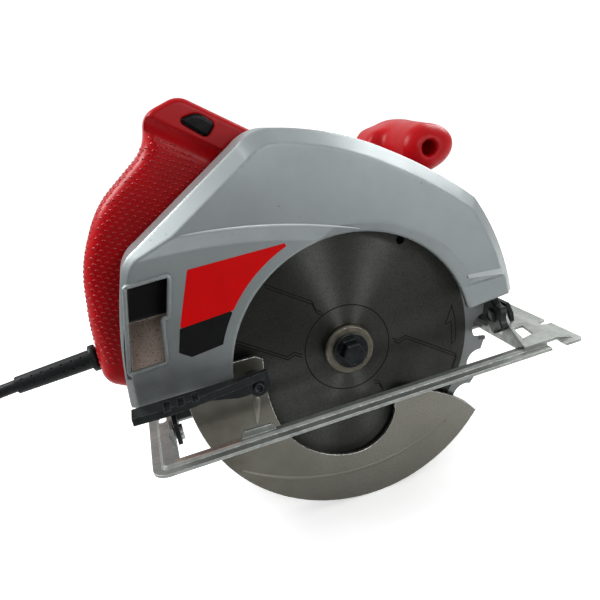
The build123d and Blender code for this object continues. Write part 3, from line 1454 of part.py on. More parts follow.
# Rear handle: a hollow clamshell with a closed hand opening, seated on the motor housing
HANDLE_OUTLINE = [
    (-58.5, 183.8),
    (-78.6, 178.0),
    (-82.7, 159.5),
    (-117.5, 134.0),
    (-134.0, 105.0),
    (-139.5, 72.0),
    (-142.0, 34.0),
    (-128.0, 26.0),
    (-30.0, 26.0),
    (0.0, 52.0),
    (12.0, 84.0),
    (6.0, 136.0),
]
OUTLINE_ROUNDS = [12.0, 12.0, 25.0, 60.0, 80.0, 100.0, 12.0, 12.0, 12.0, 12.0, 12.0, 12.0]
HAND_OPENING = [
    (-95.0, 62.0),
    (-52.0, 60.0),
    (-44.0, 78.0),
    (-36.0, 104.0),
    (-48.0, 120.0),
    (-66.0, 126.0),
    (-94.0, 101.0),
]
OPENING_ROUND = 8.0
# The handle's head stands proud on the right side, above a cove
HEAD_PROUD = 3.5
HEAD_ROUND = 3.0
HEAD_FRONT = -12.0
COVE_RADIUS = 10.0
COVE_DEPTH = 0.8
COVE_REAR = (-110.0, 192.0)
COVE_FRONT = (HEAD_FRONT, 118.5)
HANDLE_SCREWS = [(-70.5, 166.0), (-110.0, 112.0), (-127.0, 64.0), (-66.0, 43.0), (-8.0, 126.0)]
HANDLE_SCREW_RADIUS = 2.0
HANDLE_BOSS_RADIUS = 5.0
SADDLE_GAP = 0.15
# The trigger slides square to the opening's upper rear edge
TRIGGER_LENGTH = 26.0
TRIGGER_WIDTH = 12.0
TRIGGER_REACH = 11.0
TRIGGER_TRAVEL = 4.0
TRIGGER_FLANGE = 2.0
RIM_SETBACK = 5.0
trigger_edge = Vector(HAND_OPENING[5]) - Vector(HAND_OPENING[6])
trigger_middle = (Vector(HAND_OPENING[5]) + Vector(HAND_OPENING[6])) * 0.5
trigger_angle = math.degrees(math.atan2(trigger_edge.Y, trigger_edge.X))
trigger_outward = Axis((0, 0, 0), (trigger_edge.Y, 0, -trigger_edge.X))
# Lock-off button on the right side
BUTTON_OUTLINE = [(-62.5, 171.5), (-50.5, 173.0), (-42.5, 165.5), (-48.5, 159.0)]
BUTTON_ROUNDS = [2.0, 8.0, 2.5, 3.0]
BUTTON_GAP = 0.3
BUTTON_FLANGE = 1.5
BUTTON_ROOM = 8.5
BUTTON_PROUD = 1.8
BUTTON_CROWN = 1.2
# Cord gland, a little nose-down out of the back of the handle
RELIEF_START = (-134.0, 48.0, 47.8)
RELIEF_END = (-191.2, 48.0, 43.57)
RELIEF_NECK = 6.0
handle_right_face = HANDLE_MIDDLE - HANDLE_HALF_WIDTH
handle_left_face = HANDLE_MIDDLE + HANDLE_HALF_WIDTH
head_face = handle_right_face - HEAD_PROUD
cove_axis = Vector(COVE_FRONT[0] - COVE_REAR[0], 0, COVE_FRONT[1] - COVE_REAR[1])
screw_head_near = handle_left_face - 5.0
relief_axis = Vector(RELIEF_END) - Vector(RELIEF_START)
relief_plane = Plane(RELIEF_START, x_dir=(0, 1, 0), z_dir=relief_axis)
with BuildPart() as handle_head:
    with BuildSketch(side(handle_right_face + HANDLE_ROUND)):
        with BuildLine():
            FilletPolyline(*HANDLE_OUTLINE, radius=OUTLINE_ROUNDS, close=True)
        make_face()
        with BuildLine():
            Polyline(
                COVE_REAR,
                COVE_FRONT,
                (HEAD_FRONT, COVE_REAR[1]),
                close=True,
            )
        make_face(mode=Mode.INTERSECT)
    extrude(amount=HANDLE_ROUND + HEAD_PROUD)
    # All but the two edges that meet at the cove's front end
    head_edges = handle_head.faces().sort_by(Axis.Y)[0].edges()
    fillet(head_edges.sort_by_distance((COVE_FRONT[0], head_face, COVE_FRONT[1]))[2:], HEAD_ROUND)

with BuildPart() as handle_shell:
    with BuildSketch(side(handle_left_face)):
        with BuildLine():
            FilletPolyline(*HANDLE_OUTLINE, radius=OUTLINE_ROUNDS, close=True)
        make_face()
        with BuildLine():
            FilletPolyline(*HAND_OPENING, radius=OPENING_ROUND, close=True)
        make_face(mode=Mode.SUBTRACT)
    extrude(amount=2 * HANDLE_HALF_WIDTH)
    fillet(
        handle_shell.faces().sort_by(Axis.Y)[0].edges() + handle_shell.faces().sort_by(Axis.Y)[-1].edges(),
        HANDLE_ROUND - 0.5,
    )
    add(handle_head.part)
    with BuildSketch(
        Plane((COVE_REAR[0], handle_right_face + COVE_DEPTH - COVE_RADIUS, COVE_REAR[1]), z_dir=cove_axis)
    ):
        Circle(COVE_RADIUS)
    extrude(amount=cove_axis.length + 2 * COVE_RADIUS, mode=Mode.SUBTRACT)
    with BuildSketch(side(handle_left_face - HANDLE_WALL)):
        with BuildLine():
            FilletPolyline(*HANDLE_OUTLINE, radius=OUTLINE_ROUNDS, close=True)
        make_face()
        with BuildLine():
            FilletPolyline(*HAND_OPENING, radius=OPENING_ROUND, close=True)
        make_face(mode=Mode.SUBTRACT)
        offset(amount=-RIM_SETBACK, mode=Mode.REPLACE)
        with Locations((motor_x, motor_z)):
            Circle(MOTOR_RADIUS + HANDLE_WALL, mode=Mode.SUBTRACT)
        with Locations(*HANDLE_SCREWS):
            Circle(HANDLE_BOSS_RADIUS, mode=Mode.SUBTRACT)
    extrude(amount=2 * (HANDLE_HALF_WIDTH - HANDLE_WALL), mode=Mode.SUBTRACT)
    with BuildSketch(side(handle_left_face)):
        with Locations((motor_x, motor_z)):
            Circle(MOTOR_RADIUS + SADDLE_GAP)
    extrude(amount=2 * HANDLE_HALF_WIDTH, mode=Mode.SUBTRACT)
    with BuildSketch(side(handle_left_face)):
        with Locations(*HANDLE_SCREWS):
            Circle(2 * HANDLE_SCREW_RADIUS + SEAT_GAP)
    extrude(amount=handle_left_face - screw_head_near, mode=Mode.SUBTRACT)
    with BuildSketch(side(handle_left_face)):
        with Locations(*HANDLE_SCREWS):
            Circle(HANDLE_SCREW_RADIUS + SEAT_GAP)
    extrude(amount=2 * HANDLE_HALF_WIDTH - HANDLE_WALL - 2, mode=Mode.SUBTRACT)
    with BuildSketch(side(HANDLE_MIDDLE + TRIGGER_WIDTH / 2 + 0.4)):
        with Locations(Location(trigger_middle, trigger_angle)):
            Rectangle(TRIGGER_LENGTH + 0.8, 2 * RIM_SETBACK + 2)
    extrude(amount=TRIGGER_WIDTH + 0.8, mode=Mode.SUBTRACT)
    with BuildSketch(side(HANDLE_MIDDLE)):
        with BuildLine():
            FilletPolyline(*BUTTON_OUTLINE, radius=BUTTON_ROUNDS, close=True)
        make_face()
        offset(amount=BUTTON_GAP, mode=Mode.REPLACE)
    extrude(amount=2 * HANDLE_HALF_WIDTH, mode=Mode.SUBTRACT)
    with BuildSketch(side(handle_right_face + HANDLE_WALL + BUTTON_ROOM)):
        with BuildLine():
            FilletPolyline(*BUTTON_OUTLINE, radius=BUTTON_ROUNDS, close=True)
        make_face()
        offset(amount=BUTTON_FLANGE + BUTTON_GAP, mode=Mode.REPLACE)
    extrude(amount=BUTTON_ROOM, mode=Mode.SUBTRACT)
    with BuildSketch(relief_plane):
        Circle(RELIEF_NECK + SEAT_GAP)
    extrude(amount=3 * RELIEF_NECK, both=True, mode=Mode.SUBTRACT)

with BuildPart() as handle_right:
    add(handle_shell.part)
    split(bisect_by=side(HANDLE_MIDDLE), keep=Keep.TOP)
save(handle_right, "handle_right")

with BuildPart() as handle_left:
    add(handle_shell.part)
    split(bisect_by=side(HANDLE_MIDDLE), keep=Keep.BOTTOM)
save(handle_left, "handle_left")

with BuildPart() as handle_screws:
    with BuildSketch(side(screw_head_near + 2.6)):
        with Locations(*HANDLE_SCREWS):
            Circle(2 * HANDLE_SCREW_RADIUS)
    extrude(amount=2.6)
    with BuildSketch(side(screw_head_near)):
        with Locations(*HANDLE_SCREWS):
            Circle(HANDLE_SCREW_RADIUS)
    extrude(amount=screw_head_near - handle_right_face - HANDLE_WALL - 3)
save(handle_screws, "handle_screws")

switch_depth = 8.0
switch_gap = TRIGGER_FLANGE + TRIGGER_TRAVEL + 0.5
switch_half = HANDLE_HALF_WIDTH - HANDLE_WALL - 0.3
with BuildPart() as switch_body:
    with BuildSketch(side(HANDLE_MIDDLE + switch_half)):
        with Locations(Location(trigger_middle, trigger_angle)):
            with Locations((0, RIM_SETBACK + switch_gap)):
                Rectangle(TRIGGER_LENGTH - 6, switch_depth, align=(Align.CENTER, Align.MIN))
    extrude(amount=2 * switch_half)
save(switch_body, "switch_body")

with BuildPart() as trigger:
    with BuildSketch(side(HANDLE_MIDDLE + TRIGGER_WIDTH / 2)):
        with Locations(Location(trigger_middle, trigger_angle)):
            with Locations((0, RIM_SETBACK + 0.3)):
                Rectangle(TRIGGER_LENGTH, TRIGGER_REACH + RIM_SETBACK, align=(Align.CENTER, Align.MAX))
            with Locations((0, RIM_SETBACK + 0.3)):
                Rectangle(TRIGGER_LENGTH + 5, TRIGGER_FLANGE, align=(Align.CENTER, Align.MIN))
    extrude(amount=TRIGGER_WIDTH)
    fillet(trigger.edges().filter_by(Axis.Y).sort_by(trigger_outward)[-2:], 4)
save(trigger, "trigger")

with BuildPart() as lock_off_button:
    with BuildSketch(side(handle_right_face + HANDLE_WALL + 4)):
        with BuildLine():
            FilletPolyline(*BUTTON_OUTLINE, radius=BUTTON_ROUNDS, close=True)
        make_face()
    extrude(amount=HANDLE_WALL + 4 + HEAD_PROUD + BUTTON_PROUD)
    fillet(lock_off_button.faces().sort_by(Axis.Y)[0].edges(), BUTTON_CROWN)
    with BuildSketch(side(handle_right_face + HANDLE_WALL + 2.3)):
        with BuildLine():
            FilletPolyline(*BUTTON_OUTLINE, radius=BUTTON_ROUNDS, close=True)
        make_face()
        offset(amount=BUTTON_FLANGE, mode=Mode.REPLACE)
    extrude(amount=2)
save(lock_off_button, "lock_off_button")

# Front handle: a round grip across the saw, on a pylon that sits on the motor housing
GRIP = (77.0, 126.5)
GRIP_NEAR = 16.0
GRIP_RADIUS = 14.5
GRIP_WAIST = 15.5
GRIP_ROOT = 17.5
GRIP_HOLE = 4.5
PYLON_NEAR = 50.0
PYLON = [(77.0, 141.0), (58.0, 141.5), (20.0, 88.0), (0.0, 60.0), (38.0, 66.0), (70.0, 108.0), (91.0, 124.0)]
grip_plane = Plane((GRIP[0], 0, GRIP[1]), x_dir=(0, 1, 0), z_dir=(1, 0, 0))
with BuildPart() as aux_handle:
    with BuildSketch(grip_plane):
        with BuildLine():
            RadiusArc((GRIP_NEAR, GRIP_HOLE), (GRIP_NEAR + 8, GRIP_RADIUS), 10)
            Spline(
                (GRIP_NEAR + 8, GRIP_RADIUS),
                ((GRIP_NEAR + PYLON_NEAR) / 2 + 6, GRIP_WAIST),
                (PYLON_NEAR + 6, GRIP_ROOT),
            )
            Polyline(
                (PYLON_NEAR + 6, GRIP_ROOT),
                (AUX_FAR - 2, GRIP_ROOT),
                (AUX_FAR, GRIP_ROOT - 2),
                (AUX_FAR, 0),
                (GRIP_NEAR + 6, 0),
                (GRIP_NEAR + 6, GRIP_HOLE),
                (GRIP_NEAR, GRIP_HOLE),
            )
        make_face()
    revolve(axis=Axis((GRIP[0], 0, GRIP[1]), (0, 1, 0)))
    with BuildSketch(side(AUX_FAR)):
        with BuildLine():
            FilletPolyline(*PYLON, radius=6, close=True)
        make_face()
    extrude(amount=AUX_FAR - PYLON_NEAR)
    with BuildSketch(side(AUX_FAR)):
        with Locations((motor_x, motor_z)):
            Circle(MOTOR_RADIUS + SADDLE_GAP)
    extrude(amount=AUX_FAR - PYLON_NEAR, mode=Mode.SUBTRACT)
    with BuildSketch(side(AUX_FAR)):
        with Locations(lug_screw):
            Circle(2.5 + SEAT_GAP)
    extrude(amount=AUX_FAR - PYLON_NEAR - 6, mode=Mode.SUBTRACT)
save(aux_handle, "aux_handle")

aux_lug_far = AUX_FAR + SEAT_GAP + aux_lug_length
with BuildPart() as aux_handle_screw:
    with BuildSketch(side(aux_lug_far + 3)):
        with Locations(lug_screw):
            Circle(5)
    extrude(amount=3)
    with BuildSketch(side(aux_lug_far)):
        with Locations(lug_screw):
            Circle(2.5)
    extrude(amount=aux_lug_far - PYLON_NEAR - 8)
save(aux_handle_screw, "aux_handle_screw")

# Strain relief: a neck in the handle wall, a collar and a tapering sleeve
RELIEF_COLLAR = 8.2
RELIEF_ROOT = 5.9
RELIEF_TIP = 5.25
neck_length = 8.7
collar_length = 3.6
with BuildPart() as strain_relief:
    with BuildSketch(relief_plane):
        Circle(RELIEF_NECK)
    extrude(amount=neck_length)
    with BuildSketch(relief_plane.offset(neck_length)):
        Circle(RELIEF_COLLAR)
    extrude(amount=collar_length)
    with BuildSketch(relief_plane.offset(neck_length + collar_length)):
        Circle(RELIEF_ROOT)
    with BuildSketch(relief_plane.offset(relief_axis.length)):
        Circle(RELIEF_TIP)
    loft(ruled=True)
save(strain_relief, "strain_relief")


def cord_radii(route):
    """Bend radius at each inner point of a cord's route: 0.45 of the shorter run over tan(half turn)."""
    radii = []
    for before, corner, after in zip(route, route[1:], route[2:]):
        first = Vector(corner) - Vector(before)
        second = Vector(after) - Vector(corner)
        half_turn = math.radians(first.get_angle(second)) / 2
        radii.append(0.45 * min(first.length, second.length) / math.tan(half_turn))
    return radii


def biarc(start, leave, end, arrive):
    """Two tangent arcs from a point and direction to another point and direction."""
    chord = end - start
    bend = 2 * (1 - leave.dot(arrive))
    lean = 2 * chord.dot(leave + arrive)
    reach = (-lean + math.sqrt(lean**2 + 4 * bend * chord.dot(chord))) / (2 * bend)
    first = start + leave * reach
    second = end - arrive * reach
    joint = (first + second) * 0.5
    TangentArc(start, joint, tangent=leave)
    TangentArc(joint, end, tangent=second - first)


def least_gap(points, diameter, skip):
    """Smallest clear distance between stretches of a tube that lie more than skip points apart."""
    least = math.inf
    for index, point in enumerate(points):
        for other in points[index + skip:]:
            least = min(least, (other - point).length - diameter)
    return least


# Cord: from the gland down to the floor level of the guard's rim, then a loose coil and the plug
CORD_ROUTE = [
    (-191.2, 48.0, 43.57),
    (-220.0, 48.0, 41.44),
    (-243.0, 46.5, 25.0),
    (-252.0, 42.0, -6.0),
    (-254.0, 32.0, -38.0),
    (-251.0, 14.0, -61.0),
    (-246.0, -6.0, -67.4),
    (-246.0, -26.0, -67.4),
]
COIL_RADIUS = 53.0
COIL_PITCH = 8.3
COIL_TURNS = 2.5
CORD_TAIL = [
    (-352.0, -26.0, -59.1),
    (-352.0, -2.0, -59.1),
    (-355.0, 23.0, -63.7),
    (-362.0, 45.0, -63.7),
]
bends = cord_radii(CORD_ROUTE)
print("cord radii", [round(bend, 1) for bend in bends])
with BuildPart() as cord:
    with BuildLine() as cord_path:
        FilletPolyline(*CORD_ROUTE, radius=bends)
    with BuildSketch(Plane(CORD_ROUTE[0], z_dir=Vector(CORD_ROUTE[1]) - Vector(CORD_ROUTE[0]))):
        Circle(CORD_RADIUS)
    sweep()
print("cord", cord_path.wire().length, cord.part.volume / (math.pi * CORD_RADIUS**2))
save(cord, "cord")

coil_lead = 2 * CORD_RADIUS
coil_x = CORD_ROUTE[-1][0] - COIL_RADIUS
coil_y = CORD_ROUTE[-1][1] - coil_lead
inward_turn = 2 * math.pi * COIL_TURNS
reversal = inward_turn + math.pi / 2
whole_turn = 2 * reversal


def coil_point(turned):
    """Middle of the coiled cord after this much turning, clockwise from above."""
    drawn_in = COIL_PITCH / (2 * math.pi) * (reversal - abs(turned - reversal))
    radius = COIL_RADIUS - drawn_in
    climbed = min(max((turned - inward_turn) / math.pi, 0), 1)
    height = CORD_ROUTE[-1][2] + COIL_PITCH * climbed
    return Vector(coil_x + radius * math.cos(turned), coil_y - radius * math.sin(turned), height)


def coil_heading(turned):
    """Direction of the coiled cord, square to the floor plane's radius at the ends."""
    if turned <= 0 or turned >= whole_turn:
        return Vector(-math.sin(turned), -math.cos(turned), 0)
    step = 0.01
    return (coil_point(turned + step) - coil_point(turned - step)).normalized()


quarters = round(whole_turn / (math.pi / 2))
coil_turns = [whole_turn * index / quarters for index in range(quarters + 1)]
fine_points = [coil_point(whole_turn * index / 400) for index in range(401)]
print("coil gap", least_gap(fine_points, 2 * CORD_RADIUS, 40))
with BuildPart() as cord_coil:
    with BuildLine() as coil_path:
        Line(CORD_ROUTE[-1], coil_point(0))
        for before, after in zip(coil_turns, coil_turns[1:]):
            biarc(coil_point(before), coil_heading(before), coil_point(after), coil_heading(after))
        Line(coil_point(whole_turn), CORD_TAIL[0])
    with BuildSketch(Plane(CORD_ROUTE[-1], z_dir=(0, -1, 0))):
        Circle(CORD_RADIUS)
    sweep()
print("coil", coil_path.wire().length, cord_coil.part.volume / (math.pi * CORD_RADIUS**2))
save(cord_coil, "cord_coil")

tail_bends = cord_radii(CORD_TAIL)
print("tail radii", [round(bend, 1) for bend in tail_bends])
with BuildPart() as cord_tail:
    with BuildLine() as tail_path:
        FilletPolyline(*CORD_TAIL, radius=tail_bends)
    with BuildSketch(Plane(CORD_TAIL[0], z_dir=Vector(CORD_TAIL[1]) - Vector(CORD_TAIL[0]))):
        Circle(CORD_RADIUS)
    sweep()
print("tail", tail_path.wire().length, cord_tail.part.volume / (math.pi * CORD_RADIUS**2))
save(cord_tail, "cord_tail")

# Two-prong plug, lying on the floor
PLUG_WIDTH = 24.0
PLUG_HEIGHT = 14.6
PLUG_LENGTH = 26.0
PLUG_NECK = 10.0
PRONG_SPACING = 12.7
PRONG_WIDTH = 6.3
PRONG_SHEET = 1.5
PRONG_LENGTH = 17.0
plug_heading = Vector(CORD_TAIL[-1]) - Vector(CORD_TAIL[-2])
plug_plane = Plane(CORD_TAIL[-1], x_dir=plug_heading.cross(Vector(0, 0, 1)), z_dir=plug_heading)
with BuildPart() as plug_body:
    with BuildSketch(plug_plane):
        Circle(CORD_RADIUS + 1.6)
    with BuildSketch(plug_plane.offset(PLUG_NECK)):
        Circle(CORD_RADIUS + 2.8)
    loft(ruled=True)
    with BuildSketch(plug_plane.offset(PLUG_NECK)):
        RectangleRounded(PLUG_WIDTH, PLUG_HEIGHT, 5)
    extrude(amount=PLUG_LENGTH)
save(plug_body, "plug_body")

with BuildPart() as plug_blades:
    with BuildSketch(plug_plane.offset(PLUG_NECK + PLUG_LENGTH)):
        with Locations((PRONG_SPACING / 2, 0), (-PRONG_SPACING / 2, 0)):
            Rectangle(PRONG_SHEET, PRONG_WIDTH)
    extrude(amount=PRONG_LENGTH)
save(plug_blades, "plug_blades")

# Return spring of the lower guard, wound on the hub behind the dished wall
SPRING_WIRE = 0.55
SPRING_TURNS = 1.5
spring_radius = HUB_RADIUS + SPRING_WIRE + 0.2
spring_near = dish_far + 0.3 + SPRING_WIRE
spring_far = GUARD_INNER_FAR - 0.3 - SPRING_WIRE
spring_turn = 2 * math.pi * SPRING_TURNS
spring_rise = (spring_far - spring_near) / spring_turn


def spring_point(turned):
    """Middle of the spring wire after this much turning from forward."""
    return Vector(
        spring_radius * math.cos(turned),
        spring_near + spring_rise * turned,
        ARBOR_HEIGHT + spring_radius * math.sin(turned),
    )


def spring_heading(turned):
    """Direction of the spring wire."""
    around = Vector(-spring_radius * math.sin(turned), 0, spring_radius * math.cos(turned))
    return (around + Vector(0, spring_rise, 0)).normalized()


spring_steps = round(4 * SPRING_TURNS)
spring_turns = [spring_turn * index / spring_steps for index in range(spring_steps + 1)]
with BuildPart() as guard_spring:
    with BuildLine() as spring_path:
        for before, after in zip(spring_turns, spring_turns[1:]):
            biarc(spring_point(before), spring_heading(before), spring_point(after), spring_heading(after))
    with BuildSketch(Plane(spring_point(0), z_dir=spring_heading(0))):
        Circle(SPRING_WIRE)
    sweep()
print("spring gap", spring_rise * 2 * math.pi - 2 * SPRING_WIRE)
save(guard_spring, "guard_spring")
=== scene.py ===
"""Looks of a corded circular saw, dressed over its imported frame.

Sizes below are millimetres and become metres through MM.
X points forward, Y to the motor side and Z up. The origin is on the sole, under the arbor.
"""

import logging
import math
from dataclasses import dataclass, field
from enum import Enum

import bmesh
import bpy
import numpy as np
from mathutils import Matrix, Vector
from mathutils.bvhtree import BVHTree


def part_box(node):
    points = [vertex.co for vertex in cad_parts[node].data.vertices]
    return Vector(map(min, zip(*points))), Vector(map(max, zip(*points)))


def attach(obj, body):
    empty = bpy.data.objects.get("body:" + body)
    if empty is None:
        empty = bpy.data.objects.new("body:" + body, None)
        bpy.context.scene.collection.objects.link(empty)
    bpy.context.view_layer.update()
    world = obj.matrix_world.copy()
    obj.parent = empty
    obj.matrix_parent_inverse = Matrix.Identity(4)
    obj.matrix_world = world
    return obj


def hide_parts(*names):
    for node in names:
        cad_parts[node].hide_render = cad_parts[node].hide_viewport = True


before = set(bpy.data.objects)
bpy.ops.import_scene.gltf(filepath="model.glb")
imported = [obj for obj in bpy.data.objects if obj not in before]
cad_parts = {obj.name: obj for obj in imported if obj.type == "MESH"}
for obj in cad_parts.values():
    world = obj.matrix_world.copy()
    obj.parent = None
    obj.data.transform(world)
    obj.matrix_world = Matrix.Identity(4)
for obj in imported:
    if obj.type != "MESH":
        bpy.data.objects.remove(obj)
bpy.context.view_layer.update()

MM = 0.001
FULL_TURN = 2 * math.pi
ARBOR_HEIGHT = 26.5
FLOOR_Z = -71.2
BLADE_FACE = -0.6
PANEL_FACE = -12.3
CROWN_FACE = -16.5
GUARD_FACE = -8.0
# Detail of the noise in every finish's patches, gloss and grain, and its usual roughness
PATCH_DETAIL, GLOSS_DETAIL, GRAIN_DETAIL = 5.0, 4.0, 2.0
NOISE_ROUGH = 0.55
BEVEL_SAMPLES = 6
# Sockets of a colour mix: its share, the colour under and the colour over
SHARE, UNDER, OVER = 0, 6, 7
COLOUR_MIX = {"output": 2, "data_type": "RGBA"}
Socket = bpy.types.NodeSocket
Tree = bpy.types.NodeTree

log = logging.getLogger("circular_saw")


def linear(colour: str) -> tuple[float, float, float, float]:
    """Turn an sRGB hex value into linear light, by the standard's own curve.

    Args:
        colour: six hex digits after a hash.

    Returns:
        Red, green, blue and an alpha of one.
    """
    channels = np.array([int(colour[place : place + 2], 16) for place in (1, 3, 5)]) / 255
    light = np.where(channels <= 0.04045, channels / 12.92, ((channels + 0.055) / 1.055) ** 2.4)
    return (*light.tolist(), 1.0)


def add_node(
    tree: Tree, kind: str, inputs: dict | None = None, output: int | str = 0, **settings: object
) -> Socket | None:
    """Add one node with its settings, constants and links.

    Args:
        tree: node tree that takes the node.
        kind: Blender's name of the node type, after ShaderNode.
        inputs: for each input socket, a constant or the output that is linked to it.
        output: the output socket to give back.
        settings: attributes of the node itself.

    Returns:
        That output, or None where the node has no outputs.
    """
    node = tree.nodes.new("ShaderNode" + kind)
    for name, value in settings.items():
        setattr(node, name, value)
    for socket, value in (inputs or {}).items():
        if isinstance(value, Socket):
            tree.links.new(value, node.inputs[socket])
        else:
            node.inputs[socket].default_value = value
    return node.outputs[output] if node.outputs else None


def off_arbor(tree: Tree, place: Socket) -> Socket:
    """The vector straight out from the arbor's axis."""
    flat = add_node(tree, "VectorMath", {0: place, 1: (1, 0, 1)}, operation="MULTIPLY")
    return add_node(tree, "VectorMath", {0: flat, 1: (0, 0, ARBOR_HEIGHT * MM)}, operation="SUBTRACT")


def reach(tree: Tree, place: Socket) -> Socket:
    """Distance from the arbor's axis."""
    return add_node(tree, "VectorMath", {0: off_arbor(tree, place)}, "Value", operation="LENGTH")


def within(tree: Tree, place: Socket, region: tuple, share: Socket | float) -> Socket:
    """Keep a share inside a region: its product with a clamped ramp for each side of the region.

    Args:
        tree: node tree that takes the nodes.
        place: Object coordinates.
        region: for each side its axis, the coordinate where nothing is left and the one where all is.
        share: the share inside the region.

    Returns:
        The product.
    """
    for axis, none, full in region:
        along = add_node(tree, "SeparateXYZ", {0: place}, axis)
        ramp = add_node(tree, "MapRange", {"Value": along, "From Min": none * MM, "From Max": full * MM})
        share = add_node(tree, "Math", {0: share, 1: ramp}, operation="MULTIPLY")
    return share


@dataclass(frozen=True)
class Cloud:
    """Noise with lumps of one size, whose values from low to high become a share from least to most."""

    size: float
    low: float
    high: float
    least: float = 0.0
    most: float = 1.0
    detail: float = 3.0
    rough: float = NOISE_ROUGH

    def share(self, tree: Tree, place: Socket) -> Socket:
        """The clamped share at each place of a surface.

        Args:
            tree: node tree that takes the nodes.
            place: Object coordinates.

        Returns:
            The share.
        """
        lumps = {"Scale": 1 / (self.size * MM), "Detail": self.detail, "Roughness": self.rough}
        noise = add_node(tree, "TexNoise", {"Vector": place, **lumps}, "Fac")
        span = {"From Min": self.low, "From Max": self.high, "To Min": self.least, "To Max": self.most}
        return add_node(tree, "MapRange", {"Value": noise, **span})


@dataclass(frozen=True)
class Finish:
    """A surface finish: its colour, the patches in it, its grain and the wear along its edges.

    Each pattern is three-dimensional noise on Object coordinates, at a size in millimetres.
    """

    name: str
    colour: str
    patch: str
    patch_mm: float = 8.0
    patch_span: tuple = (0.35, 0.7)
    metallic: float = 0.0
    roughness: float = 0.5
    spread: float = 0.08
    spread_span: tuple = (0.3, 0.7)
    grain_mm: float = 0.6
    grain_height: float = 0.01
    edge_mm: float = 0.4
    edge: str = ""
    edge_share: float = 0.6
    edge_turn: tuple = (0.985, 0.86)
    edge_breaks: Cloud = Cloud(2.5, 0.35, 0.6, detail=4.0)
    coat: float = 0.0
    anisotropic: float = 0.0
    specular: float = 0.5

    def layers(self, tree: Tree, place: Socket) -> list[tuple[Socket, str]]:
        """Colours laid over the first one, each with its share; every finish has its patches."""
        patches = Cloud(self.patch_mm, *self.patch_span, detail=PATCH_DETAIL)
        return [(patches.share(tree, place), self.patch)]

    def height(self, tree: Tree, place: Socket) -> Socket:
        """Relief of the surface before the grain is scaled."""
        lumps = {"Scale": 1 / (self.grain_mm * MM), "Detail": GRAIN_DETAIL, "Roughness": NOISE_ROUGH}
        return add_node(tree, "TexNoise", {"Vector": place, **lumps}, "Fac")

    def tangent(self, tree: Tree, place: Socket) -> dict[str, Socket]:
        """Direction of a brushed finish; plain finishes have none."""
        return {}

    def worn(self, tree: Tree, place: Socket, soft: Socket) -> Socket:
        """Share of wear on the edges, where the softened normal leaves the face's own, in broken stretches.

        Args:
            tree: node tree that takes the nodes.
            place: Object coordinates.
            soft: normal with softened edges.

        Returns:
            The share.
        """
        face = add_node(tree, "NewGeometry", output="True Normal")
        turned = add_node(tree, "VectorMath", {0: face, 1: soft}, "Value", operation="DOT_PRODUCT")
        kept, lost = self.edge_turn
        span = {"From Min": kept, "From Max": lost, "To Max": self.edge_share}
        rubbed = add_node(tree, "MapRange", {"Value": turned, **span})
        broken = self.edge_breaks.share(tree, place)
        return add_node(tree, "Math", {0: rubbed, 1: broken}, operation="MULTIPLY")

    def material(self) -> bpy.types.Material:
        """Build the finish once, or give the one already built.

        Returns:
            A node material with this finish's name.
        """
        if self.name in bpy.data.materials:
            return bpy.data.materials[self.name]
        made = bpy.data.materials.new(self.name)
        made.use_nodes = True
        tree = made.node_tree
        tree.nodes.clear()
        place = add_node(tree, "TexCoord", output="Object")
        soft = add_node(tree, "Bevel", {"Radius": self.edge_mm * MM}, samples=BEVEL_SAMPLES)
        layers = self.layers(tree, place)
        if self.edge:
            layers.append((self.worn(tree, place, soft), self.edge))
        colour = linear(self.colour)
        for share, over in layers:
            colour = add_node(tree, "Mix", {SHARE: share, UNDER: colour, OVER: linear(over)}, **COLOUR_MIX)
        gloss = (self.roughness - self.spread, self.roughness + self.spread)
        blotches = Cloud(self.patch_mm / 2, *self.spread_span, *gloss, detail=GLOSS_DETAIL)
        relief = {"Height": self.height(tree, place), "Normal": soft, "Distance": self.grain_height * MM}
        inputs = {
            "Base Color": colour,
            "Roughness": blotches.share(tree, place),
            "Normal": add_node(tree, "Bump", {**relief, "Strength": 1.0}),
            "Metallic": self.metallic,
            "Coat Weight": self.coat,
            "Anisotropic": self.anisotropic,
            "Specular IOR Level": self.specular,
            **self.tangent(tree, place),
        }
        add_node(tree, "OutputMaterial", {"Surface": add_node(tree, "BsdfPrincipled", inputs)})
        return made


